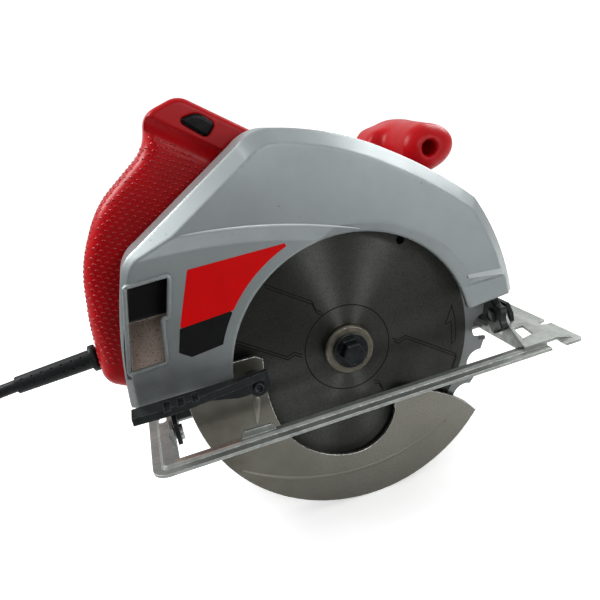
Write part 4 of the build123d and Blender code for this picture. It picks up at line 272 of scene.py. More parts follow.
@dataclass(frozen=True)
class HoodPaint(Finish):
    """Silver enamel on the cast hood, with painted shade towards its low rear, and painted shade and dust
    inside the chip chute.
    """

    # Painted shade: darker towards the bottom and the rear of the hood, in soft patches
    low_painted_shade: str = "#4A4B48"
    low_shade_cloud: Cloud = Cloud(14.0, 0.25, 0.75, 0.44, 0.80, detail=6.0)
    low_shade_region: tuple = (("Z", 110.0, 35.0), ("X", -20.0, -100.0))
    nick: str = "#55585A"
    nick_mm: float = 5.0
    nick_rim: tuple = (0.09, 0.05)
    nick_places: Cloud = Cloud(9.0, 0.56, 0.62, detail=2.0)
    # Painted shade: near black inside the chute, where little light reaches; the tan dust laid over it is
    # real
    chute_painted_shade: str = "#090A0B"
    chute_dust: str = "#8E7E73"
    dust_specks: Cloud = Cloud(1.0, 0.36, 0.46, detail=6.0, rough=0.75)
    dust_slope: float = 0.3
    chute_wall: float = 121.8
    chute_lean: float = 0.085
    # The sides of this region are sharp, a thousandth of a millimetre across
    chute_region: tuple = (
        ("X", -60.0, -60.001),
        ("Y", -11.8, -11.799),
        ("Y", 9.6, 9.599),
        ("Z", 50.0, 50.001),
        ("Z", 101.0, 100.999),
    )

    def layers(self, tree: Tree, place: Socket) -> list[tuple[Socket, str]]:
        """Add painted shade towards the low rear, nicks, and the chute: painted shade near black, with tan
        dust where it faces up.

        The chute lies behind the near face, inside a radius from the arbor that grows with height.

        Args:
            tree: node tree that takes the nodes.
            place: Object coordinates.

        Returns:
            Shares and the colours that they lay on.
        """
        # Painted shade towards the low rear
        low_painted_shade = within(tree, place, self.low_shade_region, self.low_shade_cloud.share(tree, place))
        pits = add_node(tree, "TexVoronoi", {"Vector": place, "Scale": 1 / (self.nick_mm * MM)}, "Distance")
        rim, middle = self.nick_rim
        chips = add_node(tree, "MapRange", {"Value": pits, "From Min": rim, "From Max": middle})
        rare = self.nick_places.share(tree, place)
        nicks = add_node(tree, "Math", {0: chips, 1: rare}, operation="MULTIPLY")
        up = add_node(tree, "SeparateXYZ", {0: place}, "Z")
        lean = {0: up, 1: self.chute_lean, 2: self.chute_wall * MM}
        wall = add_node(tree, "Math", lean, operation="MULTIPLY_ADD")
        chute = add_node(tree, "Math", {0: reach(tree, place), 1: wall}, operation="LESS_THAN")
        chute = within(tree, place, self.chute_region, chute)
        normal = add_node(tree, "NewGeometry", output="True Normal")
        facing = add_node(tree, "SeparateXYZ", {0: normal}, "Z")
        ledge = add_node(tree, "Math", {0: facing, 1: self.dust_slope}, operation="GREATER_THAN")
        dust = self.dust_specks.share(tree, place)
        for mask in (ledge, chute):
            dust = add_node(tree, "Math", {0: dust, 1: mask}, operation="MULTIPLY")
        own = [(low_painted_shade, self.low_painted_shade), (nicks, self.nick), (chute, self.chute_painted_shade), (dust, self.chute_dust)]
        return super().layers(tree, place) + own


@dataclass(frozen=True)
class TurnedSteel(Finish):
    """Steel ground in circles round the arbor, so its gloss spreads along the radius."""

    # Real grinding lines are finer; these are as coarse as it takes to show
    lines_mm: float = 0.5
    # Painted shade: a darker colour laid towards the rear, in soft patches
    rear_painted_shade: str = ""
    rear_shade_cloud: Cloud = Cloud(22.0, 0.3, 0.7, 0.55, 0.95, detail=5.0)
    rear_shade_region: tuple = (("X", -15.0, -85.0),)
    speck: str = ""
    speck_cloud: Cloud = Cloud(0.9, 0.46, 0.66, 0.0, 0.6, detail=5.0, rough=0.7)
    ring: str = ""
    ring_in: float = 0.0
    ring_edge: float = 0.4

    def layers(self, tree: Tree, place: Socket) -> list[tuple[Socket, str]]:
        """Add painted shade towards the rear, fine dark specks, and a paler ring where the steel was ground
        again.

        Args:
            tree: node tree that takes the nodes.
            place: Object coordinates.

        Returns:
            Shares and the colours that they lay on.
        """
        found = super().layers(tree, place)
        # Painted shade towards the rear
        if self.rear_painted_shade:
            cloud = self.rear_shade_cloud.share(tree, place)
            found.append((within(tree, place, self.rear_shade_region, cloud), self.rear_painted_shade))
        if self.speck:
            found.append((self.speck_cloud.share(tree, place), self.speck))
        if self.ring:
            span = {"From Min": self.ring_in * MM, "From Max": (self.ring_in + self.ring_edge) * MM}
            found.append((add_node(tree, "MapRange", {"Value": reach(tree, place), **span}), self.ring))
        return found

    def height(self, tree: Tree, place: Socket) -> Socket:
        """Grinding lines: one-dimensional noise of the radius."""
        lines = {"W": reach(tree, place), "Scale": 1 / (self.lines_mm * MM), "Detail": GRAIN_DETAIL}
        return add_node(tree, "TexNoise", lines, "Fac", noise_dimensions="1D")

    def tangent(self, tree: Tree, place: Socket) -> dict[str, Socket]:
        """The way straight out from the arbor, across the grinding lines."""
        spaces = {"vector_type": "VECTOR", "convert_from": "OBJECT", "convert_to": "WORLD"}
        return {"Tangent": add_node(tree, "VectorTransform", {0: off_arbor(tree, place)}, **spaces)}


@dataclass(frozen=True)
class ScuffedSteel(Finish):
    """Plated steel with scratches drawn out along X, and paint rubbed off from work near one corner."""

    scratch: str = "#C9CCC8"
    scratch_mm: float = 0.35
    scratch_span: tuple = (0.60, 0.72)
    scratch_most: float = 0.8
    scratch_detail: float = 3.0
    scratch_rough: float = 0.6
    scratch_scale: tuple = (0.04, 1.0, 1.0)
    scratch_turn: tuple = (0.0, 0.0, 0.12)
    rubbed_paint: str = "#B99A90"
    rubbed_cloud: Cloud = Cloud(1.6, 0.42, 0.54, detail=5.0, rough=0.7)
    rubbed_region: tuple = (
        ("X", -113.0, -109.0),
        ("X", -72.0, -80.0),
        ("Y", -21.8, -23.2),
        ("Z", 2.8, 3.2),
    )

    def height(self, tree: Tree, place: Socket) -> Socket:
        """Long thin scratches as shallow relief: noise drawn out along X.

        Args:
            tree: node tree that takes the nodes.
            place: Object coordinates.

        Returns:
            The noise.
        """
        drawn = {"Vector": place, "Scale": self.scratch_scale, "Rotation": self.scratch_turn}
        lumps = {
            "Vector": add_node(tree, "Mapping", drawn),
            "Scale": 1 / (self.scratch_mm * MM),
            "Detail": self.scratch_detail,
            "Roughness": self.scratch_rough,
        }
        return add_node(tree, "TexNoise", lumps, "Fac")

    def layers(self, tree: Tree, place: Socket) -> list[tuple[Socket, str]]:
        """Add bright scratches, and dusty pink paint on top of the near bar's rear.

        Args:
            tree: node tree that takes the nodes.
            place: Object coordinates.

        Returns:
            Shares and the colours that they lay on.
        """
        low, high = self.scratch_span
        span = {"From Min": low, "From Max": high, "To Max": self.scratch_most}
        bright = add_node(tree, "MapRange", {"Value": self.height(tree, place), **span})
        paint = within(tree, place, self.rubbed_region, self.rubbed_cloud.share(tree, place))
        return super().layers(tree, place) + [(bright, self.scratch), (paint, self.rubbed_paint)]


class Look(Enum):
    """Every finish on the saw, each named for its real material and how it was made, or for the painted
    highlight that it carries.
    """

    # Silver enamel over a thin magnesium casting: soft gloss with wide highlights, a little orange peel
    SILVER_ENAMEL = HoodPaint(
        "silver_enamel_on_casting", "#8E9596", "#858C8D", patch_mm=30.0, metallic=0.5, roughness=0.38,
        spread=0.04, grain_mm=1.2, grain_height=0.02, edge_mm=2.6, edge="#D5DADA", edge_share=0.22,
        coat=0.1,
    )
    # The same enamel painted lighter as a highlight, on a crisp step whose edges stay sharp
    SILVER_STEP_HIGHLIGHT = Finish(
        "silver_enamel_step_highlight", "#B4BABB", "#AAB0B1", patch_mm=30.0, metallic=0.4, roughness=0.34,
        spread=0.04, grain_mm=1.2, edge_mm=0.15, coat=0.2,
    )
    # As-cast aluminium: grey, frosted by the mould's skin
    CAST_ALUMINIUM = Finish(
        "cast_aluminium", "#A6A8A8", "#8B8D8D", patch_mm=6.0, metallic=0.9, roughness=0.48, grain_mm=0.5,
        grain_height=0.05, edge_mm=0.8, edge="#D0D2D2",
    )
    # Red glass-filled nylon from a spark-eroded mould: satin, a slight pebble
    RED_NYLON = Finish(
        "red_moulded_nylon", "#AE0610", "#A0060E", patch_mm=18.0, roughness=0.34, spread=0.05,
        grain_mm=0.45, grain_height=0.02, edge_mm=1.8, specular=0.16,
    )
    # The same nylon on the raised grip pattern, polished by hands
    RED_PATTERN = Finish(
        "red_nylon_grip_pattern", "#AE0810", "#A0070E", patch_mm=18.0, roughness=0.24, spread=0.04,
        grain_mm=0.45, grain_height=0.005, edge_mm=0.05,
    )
    # Black nylon: slightly grey where it is handled
    BLACK_NYLON = Finish(
        "black_moulded_nylon", "#0C0E0E", "#131616", patch_mm=7.0, roughness=0.34, grain_mm=0.4,
        grain_height=0.02, edge_mm=0.7, edge="#3A4042", edge_share=0.25, specular=0.35,
    )
    # Polished black button: deep black with one small highlight
    BLACK_BUTTON = Finish(
        "polished_black_nylon", "#050606", "#080909", patch_mm=7.0, roughness=0.22, spread=0.04,
        grain_mm=0.4, grain_height=0.005, edge_mm=1.2, specular=0.12,
    )
    # Black powder coat on pressed steel: an even satin, rubbed grey along the edges
    BLACK_PAINT = Finish(
        "black_painted_steel", "#111415", "#191D1E", patch_mm=6.0, metallic=0.1, roughness=0.38,
        grain_mm=0.8, grain_height=0.02, edge_mm=0.6, edge="#7A8082", edge_share=0.5, specular=0.2,
    )
    # Cord rubber: dull, with a talc bloom
    CORD_RUBBER = Finish(
        "moulded_cord_rubber", "#121516", "#1A1E1F", patch_mm=5.0, roughness=0.45, grain_mm=0.3,
        grain_height=0.02, edge_mm=0.3, specular=0.14,
    )
    # Ground blade steel, darkened by use: bright fans out from the arbor, and a paler outer ring
    BLADE_STEEL = TurnedSteel(
        "ground_blade_steel", "#434441", "#3C3D3A", patch_mm=40.0, metallic=0.95, roughness=0.38,
        spread=0.04, grain_height=0.003, edge_mm=0.2, anisotropic=0.97, lines_mm=0.45, ring_in=77.5,
        ring="#7E8282", speck="#2A2A28",
    )
    # Ground tungsten carbide: matt grey, darker than the steel beside it
    CARBIDE = Finish(
        "ground_carbide", "#5C5E5E", "#4C4E4E", patch_mm=1.5, metallic=0.9, roughness=0.4, grain_mm=0.2,
        edge_mm=0.1,
    )
    # Pressed steel guard, satin nickel: warm grey, with gloss drawn out round the arbor and painted shade
    # towards the rear
    GUARD_STEEL = TurnedSteel(
        "satin_pressed_steel", "#7F7E76", "#74736B", patch_mm=50.0, metallic=0.9, roughness=0.4,
        spread=0.04, grain_height=0.006, edge_mm=0.8, edge="#F4F5F2", edge_share=1.0, anisotropic=0.35,
        lines_mm=0.8, speck="#5C5B54", rear_painted_shade="#3F3D35",
    )
    # The same steel where it is drawn up into a bead, without worn edges
    GUARD_BEAD = TurnedSteel(
        "drawn_guard_bead", "#7F7E76", "#74736B", patch_mm=50.0, metallic=0.9, roughness=0.36, spread=0.04,
        grain_height=0.006, edge_mm=0.1, anisotropic=0.2, lines_mm=0.8, speck="#5C5B54",
    )
    # Zinc-plated pressed steel, scuffed by timber: mottled grey with fine bright scratches
    ZINC_STEEL = ScuffedSteel(
        "zinc_plated_steel", "#939793", "#7D817E", patch_mm=9.0, metallic=0.65, roughness=0.44, spread=0.1,
        edge_mm=0.5, edge="#F0F2F0", edge_share=0.8,
    )
    # Zinc-plated fasteners: brighter than the plate, and smoother
    ZINC_FASTENER = Finish(
        "zinc_plated_fastener", "#A6AAA8", "#8E9290", patch_mm=3.0, metallic=0.95, roughness=0.3,
        spread=0.06, grain_mm=0.3, edge="#E6E8E6",
    )
    # Blacked steel: oily dark, bright where a spanner has been
    BLACK_OXIDE = Finish(
        "black_oxide_steel", "#1B1D1E", "#2B2E30", patch_mm=3.0, metallic=0.85, roughness=0.34,
        grain_mm=0.3, edge_mm=0.5, edge="#8A8E90",
    )
    # Machined steel: bright, fine tool marks
    MACHINED_STEEL = TurnedSteel(
        "machined_steel", "#A29F97", "#8C8981", patch_mm=4.0, metallic=0.95, roughness=0.3, spread=0.06,
        grain_height=0.006, edge="#EDEDEA", edge_share=0.5, anisotropic=0.5, lines_mm=0.3,
    )
    # Hardened clamp washer: brown-grey, turned, with worn rims
    FLANGE_STEEL = TurnedSteel(
        "hardened_flange_steel", "#6A665C", "#57544C", patch_mm=3.0, metallic=0.92, roughness=0.36,
        spread=0.06, edge_mm=0.7, edge="#C9C5B8", edge_share=0.7, anisotropic=0.5, lines_mm=0.3,
    )
    # Stacked core plates, varnished: dark grey with an uneven gloss
    LAMINATED_STEEL = Finish(
        "laminated_steel", "#6B6E72", "#585B5F", patch_mm=2.0, metallic=0.85, roughness=0.45, spread=0.1,
        grain_mm=0.5, grain_height=0.03, edge_mm=0.2,
    )
    # Enamelled copper wire: warm brown, with small broken highlights
    COPPER_WIRE = Finish(
        "varnished_copper_wire", "#A8572E", "#8A4323", patch_mm=1.2, metallic=0.8, roughness=0.35,
        spread=0.1, grain_height=0.15,
    )
    # Drawn brass: clear yellow, bright
    BRASS = Finish(
        "drawn_brass", "#C9A65A", "#B08D46", patch_mm=3.0, metallic=0.95, roughness=0.3, grain_mm=0.3,
        edge_mm=0.3,
    )
    # Pressed carbon: dull black
    CARBON = Finish(
        "pressed_carbon", "#1A1A1A", "#262626", patch_mm=1.0, metallic=0.1, roughness=0.6, spread=0.1,
        grain_mm=0.3, grain_height=0.02, edge_mm=0.2,
    )
    # Printed vinyl label, red field: flat and even, with little gloss
    LABEL_RED = Finish(
        "red_printed_vinyl", "#C20002", "#B80002", patch_mm=12.0, roughness=0.4, spread=0.05,
        grain_height=0.004, edge_mm=0.1, specular=0.12,
    )
    # Printed vinyl label, black field: the same film, near black
    LABEL_BLACK = Finish(
        "black_printed_vinyl", "#040505", "#070808", patch_mm=12.0, roughness=0.4, spread=0.05,
        grain_height=0.004, edge_mm=0.1, specular=0.2,
    )
    # Ink burnt into the blade's face: matt, near black
    BLADE_INK = Finish(
        "etched_blade_ink", "#040404", "#0A0B0B", patch_mm=4.0, roughness=0.6, grain_mm=0.4,
        grain_height=0.002, edge_mm=0.05, specular=0.15,
    )

    def material(self) -> bpy.types.Material:
        """The node material of this finish."""
        return self.value.material()


NODE_LOOKS = {
    Look.SILVER_ENAMEL: ["upper_guard"],
    Look.CAST_ALUMINIUM: ["gear_case", "gear_plate", "bearing_retainer"],
    Look.RED_NYLON: ["handle_right", "handle_left", "aux_handle"],
    Look.BLACK_NYLON: [
        "motor_housing", "motor_end_cap", "brush_caps", "switch_body", "trigger",
        "spindle_lock_button", "depth_lever", "bevel_knob", "cooling_fan",
    ],
    Look.BLACK_BUTTON: ["lock_off_button"],
    Look.BLACK_PAINT: ["guard_lever", "front_bracket", "depth_arc"],
    Look.CORD_RUBBER: ["strain_relief", "cord", "cord_coil", "cord_tail", "plug_body"],
    Look.BLADE_STEEL: ["saw_blade"],
    Look.CARBIDE: ["carbide_tips"],
    Look.GUARD_STEEL: ["lower_guard"],
    Look.ZINC_STEEL: ["foot"],
    Look.ZINC_FASTENER: [
        "guard_lever_screw", "gear_case_screws", "end_cap_screws", "handle_screws", "aux_handle_screw",
        "depth_clamp_bolt", "depth_pivot_pin", "bevel_pivot_pins", "bevel_bolt", "guard_snap_ring",
        "guard_spring",
    ],
    Look.BLACK_OXIDE: ["arbor_bolt"],
    Look.MACHINED_STEEL: [
        "inner_flange", "arbor_spindle", "drive_gear", "pinion", "armature_shaft",
        "spindle_bearing", "armature_bearings",
    ],
    Look.FLANGE_STEEL: ["outer_flange"],
    Look.LAMINATED_STEEL: ["field_core", "armature_core"],
    Look.COPPER_WIRE: ["field_coils", "armature_windings", "commutator"],
    Look.BRASS: ["plug_blades", "brush_holders", "spindle_bush"],
    Look.CARBON: ["carbon_brushes"],
}


@dataclass
class Shell:
    """Points in millimetres and the faces between them, wound to face outwards."""

    points: np.ndarray
    faces: list

    @classmethod
    def joined(cls, shells: list["Shell"]) -> "Shell":
        """Put several shells into one.

        Args:
            shells: the shells to join, each closed by itself.

        Returns:
            One shell with all the points and faces.
        """
        starts = np.cumsum([0] + [len(shell.points) for shell in shells]).tolist()
        faces = []
        for shell, start in zip(shells, starts):
            faces += [[place + start for place in face] for face in shell.faces]
        return cls(np.concatenate([shell.points for shell in shells]), faces)

    def piece(self, name: str, smooth: bool = True) -> bpy.types.Object:
        """Make a mesh object at the origin.

        Args:
            name: name of the piece.
            smooth: whether the faces are shaded smooth.

        Returns:
            The linked object.
        """
        mesh = bpy.data.meshes.new(name)
        mesh.from_pydata((self.points * MM).tolist(), [], self.faces)
        mesh.polygons.foreach_set("use_smooth", np.full(len(mesh.polygons), smooth))
        mesh.update()
        piece = bpy.data.objects.new(name, mesh)
        bpy.context.scene.collection.objects.link(piece)
        return piece


def tube(rings: np.ndarray, loop: bool = False) -> Shell:
    """Close a surface over rings of points: quads between rings, and a cap on each end.

    Args:
        rings: array of rings by points by 3; each ring turns left about the way along the piece.
        loop: whether the last ring joins the first instead of both ends being capped.

    Returns:
        The closed shell.
    """
    count, around = rings.shape[:2]
    row, column = np.meshgrid(np.arange(count if loop else count - 1), np.arange(around), indexing="ij")
    after, above = (column + 1) % around, (row + 1) % count
    corners = [row * around + column, row * around + after, above * around + after, above * around + column]
    faces = np.stack(corners, -1).reshape(-1, 4).tolist()
    if not loop:
        faces += [list(range(around))[::-1], list(range((count - 1) * around, count * around))]
    return Shell(rings.reshape(-1, 3), faces)


def plate(outline: np.ndarray, face: float, thickness: float) -> Shell:
    """A thin flat plate that looks at the near side: its outline, and the same outline carried out.

    Args:
        outline: array of n by 2 places in X and Z, anticlockwise as seen from the near side.
        face: Y of the surface that the plate lies on.
        thickness: how far it stands out towards the near side.

    Returns:
        The closed shell.
    """
    ring = np.insert(outline, 1, face, axis=1)
    return tube(np.stack([ring, ring - [0, thickness, 0]]))


def ridge(
    line: np.ndarray,
    width: np.ndarray | float,
    rise: np.ndarray | float,
    face: np.ndarray | float,
    section: np.ndarray,
    loop: bool = False,
) -> Shell:
    """A raised line along a path in the XZ plane: one section, scaled and mitred at every point.

    Args:
        line: array of n by 2 places in X and Z.
        width: width of the line, or one for each point.
        rise: how far it stands out towards the near side, or one for each point.
        face: Y of the surface under it, or one for each point.
        section: array of m by 2, across (-0.5 to 0.5, left first) and out (0 to 1), turning left.
        loop: whether the path closes.

    Returns:
        The closed shell.
    """
    after = np.roll(line, -1, 0) - line
    before = line - np.roll(line, 1, 0)
    if not loop:
        after[-1], before[0] = before[-1], after[0]
    ways = [way / np.linalg.norm(way, axis=1, keepdims=True) for way in (before, after)]
    left = [np.stack([-way[:, 1], way[:, 0]], 1) for way in ways]
    mitre = (left[0] + left[1]) / (1 + (left[0] * left[1]).sum(1, keepdims=True))
    width, rise, face = (np.broadcast_to(term, len(line))[:, None] for term in (width, rise, face))
    across = line[:, None] - mitre[:, None] * (section[:, 0] * width)[..., None]
    out = face - section[:, 1] * rise
    return tube(np.stack([across[..., 0], out, across[..., 1]], -1), loop)


# Sections for a ridge: a flat line, a wedge and a half circle, each with a root sunk into the surface
FLAT_SECTION = np.array([[-0.5, 1.0], [0.5, 1.0], [0.5, -0.5], [-0.5, -0.5]])
WEDGE_SECTION = np.array([[-0.5, 0.0], [0.5, 1.0], [0.5, -0.5], [-0.5, -0.5]])
ROUND_STEPS = 9
HALF_TURN = np.linspace(0, np.pi, ROUND_STEPS)
HALF_CIRCLE = np.stack([-np.cos(HALF_TURN) / 2, np.sin(HALF_TURN)], 1)
ROUND_SECTION = np.concatenate([HALF_CIRCLE, [[0.5, -0.4], [-0.5, -0.4]]])


def rounded(corners: np.ndarray, radius: float, steps: int = 6) -> np.ndarray:
    """Round the corners of a closed outline with arcs that touch both sides of each.

    Args:
        corners: array of n by 2 points.
        radius: radius of every arc.
        steps: points on each arc.

    Returns:
        Array of points, in the same order.
    """
    before, after = np.roll(corners, 1, 0) - corners, np.roll(corners, -1, 0) - corners
    before, after = (way / np.linalg.norm(way, axis=1, keepdims=True) for way in (before, after))
    half = np.arccos(np.clip((before * after).sum(1), -1, 1)) / 2
    middle = (before + after) / np.linalg.norm(before + after, axis=1, keepdims=True)
    centre = corners + middle * (radius / np.sin(half))[:, None]
    first, last = (corners + way * (radius / np.tan(half))[:, None] - centre for way in (before, after))
    share = np.linspace(0, 1, steps)[None, :, None]
    spokes = first[:, None] * (1 - share) + last[:, None] * share
    spokes *= radius / np.linalg.norm(spokes, axis=2, keepdims=True)
    return (centre[:, None] + spokes).reshape(-1, 2)


def arc(middle: tuple, radius: float, start: tuple, end: tuple, steps: int) -> np.ndarray:
    """Points on a circle, from the bearing of one place to the bearing of another.

    Args:
        middle: the circle's middle in X and Z.
        radius: its radius.
        start: place whose bearing starts the arc.
        end: place whose bearing ends it.
        steps: number of points.

    Returns:
        Array of points in X and Z.
    """
    bearings = [math.atan2(place[1] - middle[1], place[0] - middle[0]) for place in (start, end)]
    turn = np.linspace(*bearings, steps)
    return np.array(middle) + radius * np.stack([np.cos(turn), np.sin(turn)], 1)


def faded(count: int, first: float = 0.05) -> np.ndarray:
    """A share that rises from near nothing to one and falls again, by the root of a sine."""
    return np.sqrt(np.sin(np.linspace(first, np.pi - first, count)))


def surface_of(node: str) -> BVHTree:
    """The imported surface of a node, ready for rays."""
    return BVHTree.FromObject(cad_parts[node], bpy.context.evaluated_depsgraph_get())


def dress(piece: bpy.types.Object, look: Look, body: str) -> bpy.types.Object:
    """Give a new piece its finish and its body.

    Args:
        piece: the finished object.
        look: its finish.
        body: name of the body that it rides on.

    Returns:
        The same object.
    """
    piece.data.materials.append(look.material())
    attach(piece, body)
    log.info("piece %s rides on %s", piece.name, body)
    return piece


@dataclass
class MainsCord:
    """The mains lead: out of the strain relief, down to the floor, into a coil, and on to the plug."""

    radius: float = 3.8
    length: float = 1717.4
    route: tuple = (
        (-191.2, 48.0, 43.57),
        (-220.0, 48.0, 41.44),
        (-243.0, 46.5, 25.0),
        (-252.0, 42.0, -6.0),
        (-254.0, 32.0, -38.0),
        (-251.0, 14.0, -61.0),
        (-246.0, -6.0, -67.4),
        (-246.0, -26.0, -67.4),
    )
    tail: tuple = (
        (-352.0, -26.0, -59.1),
        (-352.0, -2.0, -59.1),
        (-355.0, 23.0, -63.7),
        (-362.0, 45.0, -63.7),
    )
    coil_middle: tuple = (-299.0, -33.6)
    coil_radius: float = 53.0
    pitch: float = 8.3
    inward_turns: float = 2.5
    steps_a_turn: int = 20
    corner_share: float = 0.8
    spline_order: int = 3
    spline_steps: int = 6
    round_steps: int = 5

    def coil(self) -> np.ndarray:
        """Control points of the coil: a flat spiral in, a climb of one pitch, and the same spiral out.

        The radius shrinks by one pitch a turn up to the reversal and grows again after it.
        Each control point stands a little outside the turn, because the spline cuts inside its corners.

        Returns:
            Array of points.
        """
        inward = FULL_TURN * self.inward_turns
        reversal = inward + math.pi / 2
        count = round(2 * reversal / FULL_TURN * self.steps_a_turn) + 1
        turned = np.linspace(0, 2 * reversal, count)
        drawn_in = self.pitch / FULL_TURN * (reversal - np.abs(turned - reversal))
        gain = 1 / math.cos(self.corner_share * math.pi / self.steps_a_turn)
        radius = (self.coil_radius - drawn_in) * gain
        climbed = np.clip((turned - inward) / math.pi, 0, 1)
        x = self.coil_middle[0] + radius * np.cos(turned)
        y = self.coil_middle[1] - radius * np.sin(turned)
        return np.stack([x, y, self.route[-1][2] + self.pitch * climbed], -1)

    def build(self) -> bpy.types.Object:
        """Returns:
            The curve object.
        """
        points = np.concatenate([np.array(self.route), self.coil(), np.array(self.tail)]) * MM
        curve = bpy.data.curves.new("mains_cord", "CURVE")
        curve.dimensions = "3D"
        spline = curve.splines.new("NURBS")
        spline.points.add(len(points) - 1)
        spline.points.foreach_set("co", np.column_stack([points, np.ones(len(points))]).ravel())
        spline.order_u = self.spline_order
        spline.use_endpoint_u = True
        spline.resolution_u = self.spline_steps
        curve.bevel_depth = self.radius * MM
        curve.bevel_resolution = self.round_steps
        curve.use_fill_caps = True
        cord = bpy.data.objects.new("mains_cord", curve)
        bpy.context.scene.collection.objects.link(cord)
        dress(cord, Look.CORD_RUBBER, "saw_body")
        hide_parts("cord", "cord_coil", "cord_tail")
        tuple(c * MM for c in self.route[0])
        return cord


@dataclass
class StrainRelief:
    """Rubber sleeve where the cord leaves the handle: neck, collar and a taper with pin holes."""

    start: tuple = (-134.0, 48.0, 47.8)
    end: tuple = (-191.2, 48.0, 43.57)
    neck_radius: float = 6.0
    neck_length: float = 8.7
    collar_radius: float = 8.2
    collar_length: float = 3.6
    collar_round: float = 0.4
    sleeve_radii: tuple = (5.9, 5.25)
    sleeve_lead: float = 0.3
    end_round: float = 0.5
    holes_in_row: int = 7
    rows: int = 8
    hole_radius: float = 0.62
    hole_depth: float = 0.9
    first_hole: float = 0.8
    spare_length: float = 0.6
    along: int = 210
    around: int = 144

    def build(self) -> bpy.types.Object:
        """Make the sleeve as a surface over length and turn.

        The radius follows the neck, the collar and the taper; each pin hole takes off a smooth round dent,
        one minus its squared distance over its squared radius. Holes are one spacing apart.

        Returns:
            The new piece.
        """
        start, end = np.array(self.start), np.array(self.end)
        length = np.linalg.norm(end - start)
        way = (end - start) / length
        side = np.array([0.0, 1.0, 0.0])
        begin = self.neck_length + self.collar_length
        shoulder = self.collar_radius - self.collar_round
        steps = np.array(
            [
                [0, self.neck_radius],
                [self.neck_length, self.neck_radius],
                [self.neck_length, shoulder],
                [self.neck_length + self.collar_round, self.collar_radius],
                [begin - self.collar_round, self.collar_radius],
                [begin, shoulder],
                [begin, self.sleeve_radii[0]],
            ]
        )
        place = np.linspace(begin + self.sleeve_lead, length - self.end_round, self.along)
        taper = np.interp(place, [begin, length], self.sleeve_radii)
        place = np.concatenate([steps[:, 0], place, [length]])
        base = np.concatenate([steps[:, 1], taper, [self.sleeve_radii[1] - self.end_round]])
        turn = np.linspace(0, FULL_TURN, self.around, endpoint=False)
        spacing = (length - begin) / (self.holes_in_row + self.spare_length)
        first = begin + self.first_hole * spacing
        hole = np.clip(np.round((place - first) / spacing), 0, self.holes_in_row - 1)
        off_along = (place - first - hole * spacing)[:, None]
        step = FULL_TURN / self.rows
        off_turn = (turn - np.round(turn / step) * step)[None] * base[:, None]
        dent = np.clip(1 - (off_along**2 + off_turn**2) / self.hole_radius**2, 0, 1)
        radius = base[:, None] - self.hole_depth * dent
        spokes = np.cos(turn)[:, None] * side + np.sin(turn)[:, None] * np.cross(way, side)
        rings = start + place[:, None, None] * way + radius[..., None] * spokes
        piece = tube(rings).piece("strain_relief_sleeve")
        dress(piece, Look.CORD_RUBBER, "saw_body")
        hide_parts("strain_relief")
        return piece


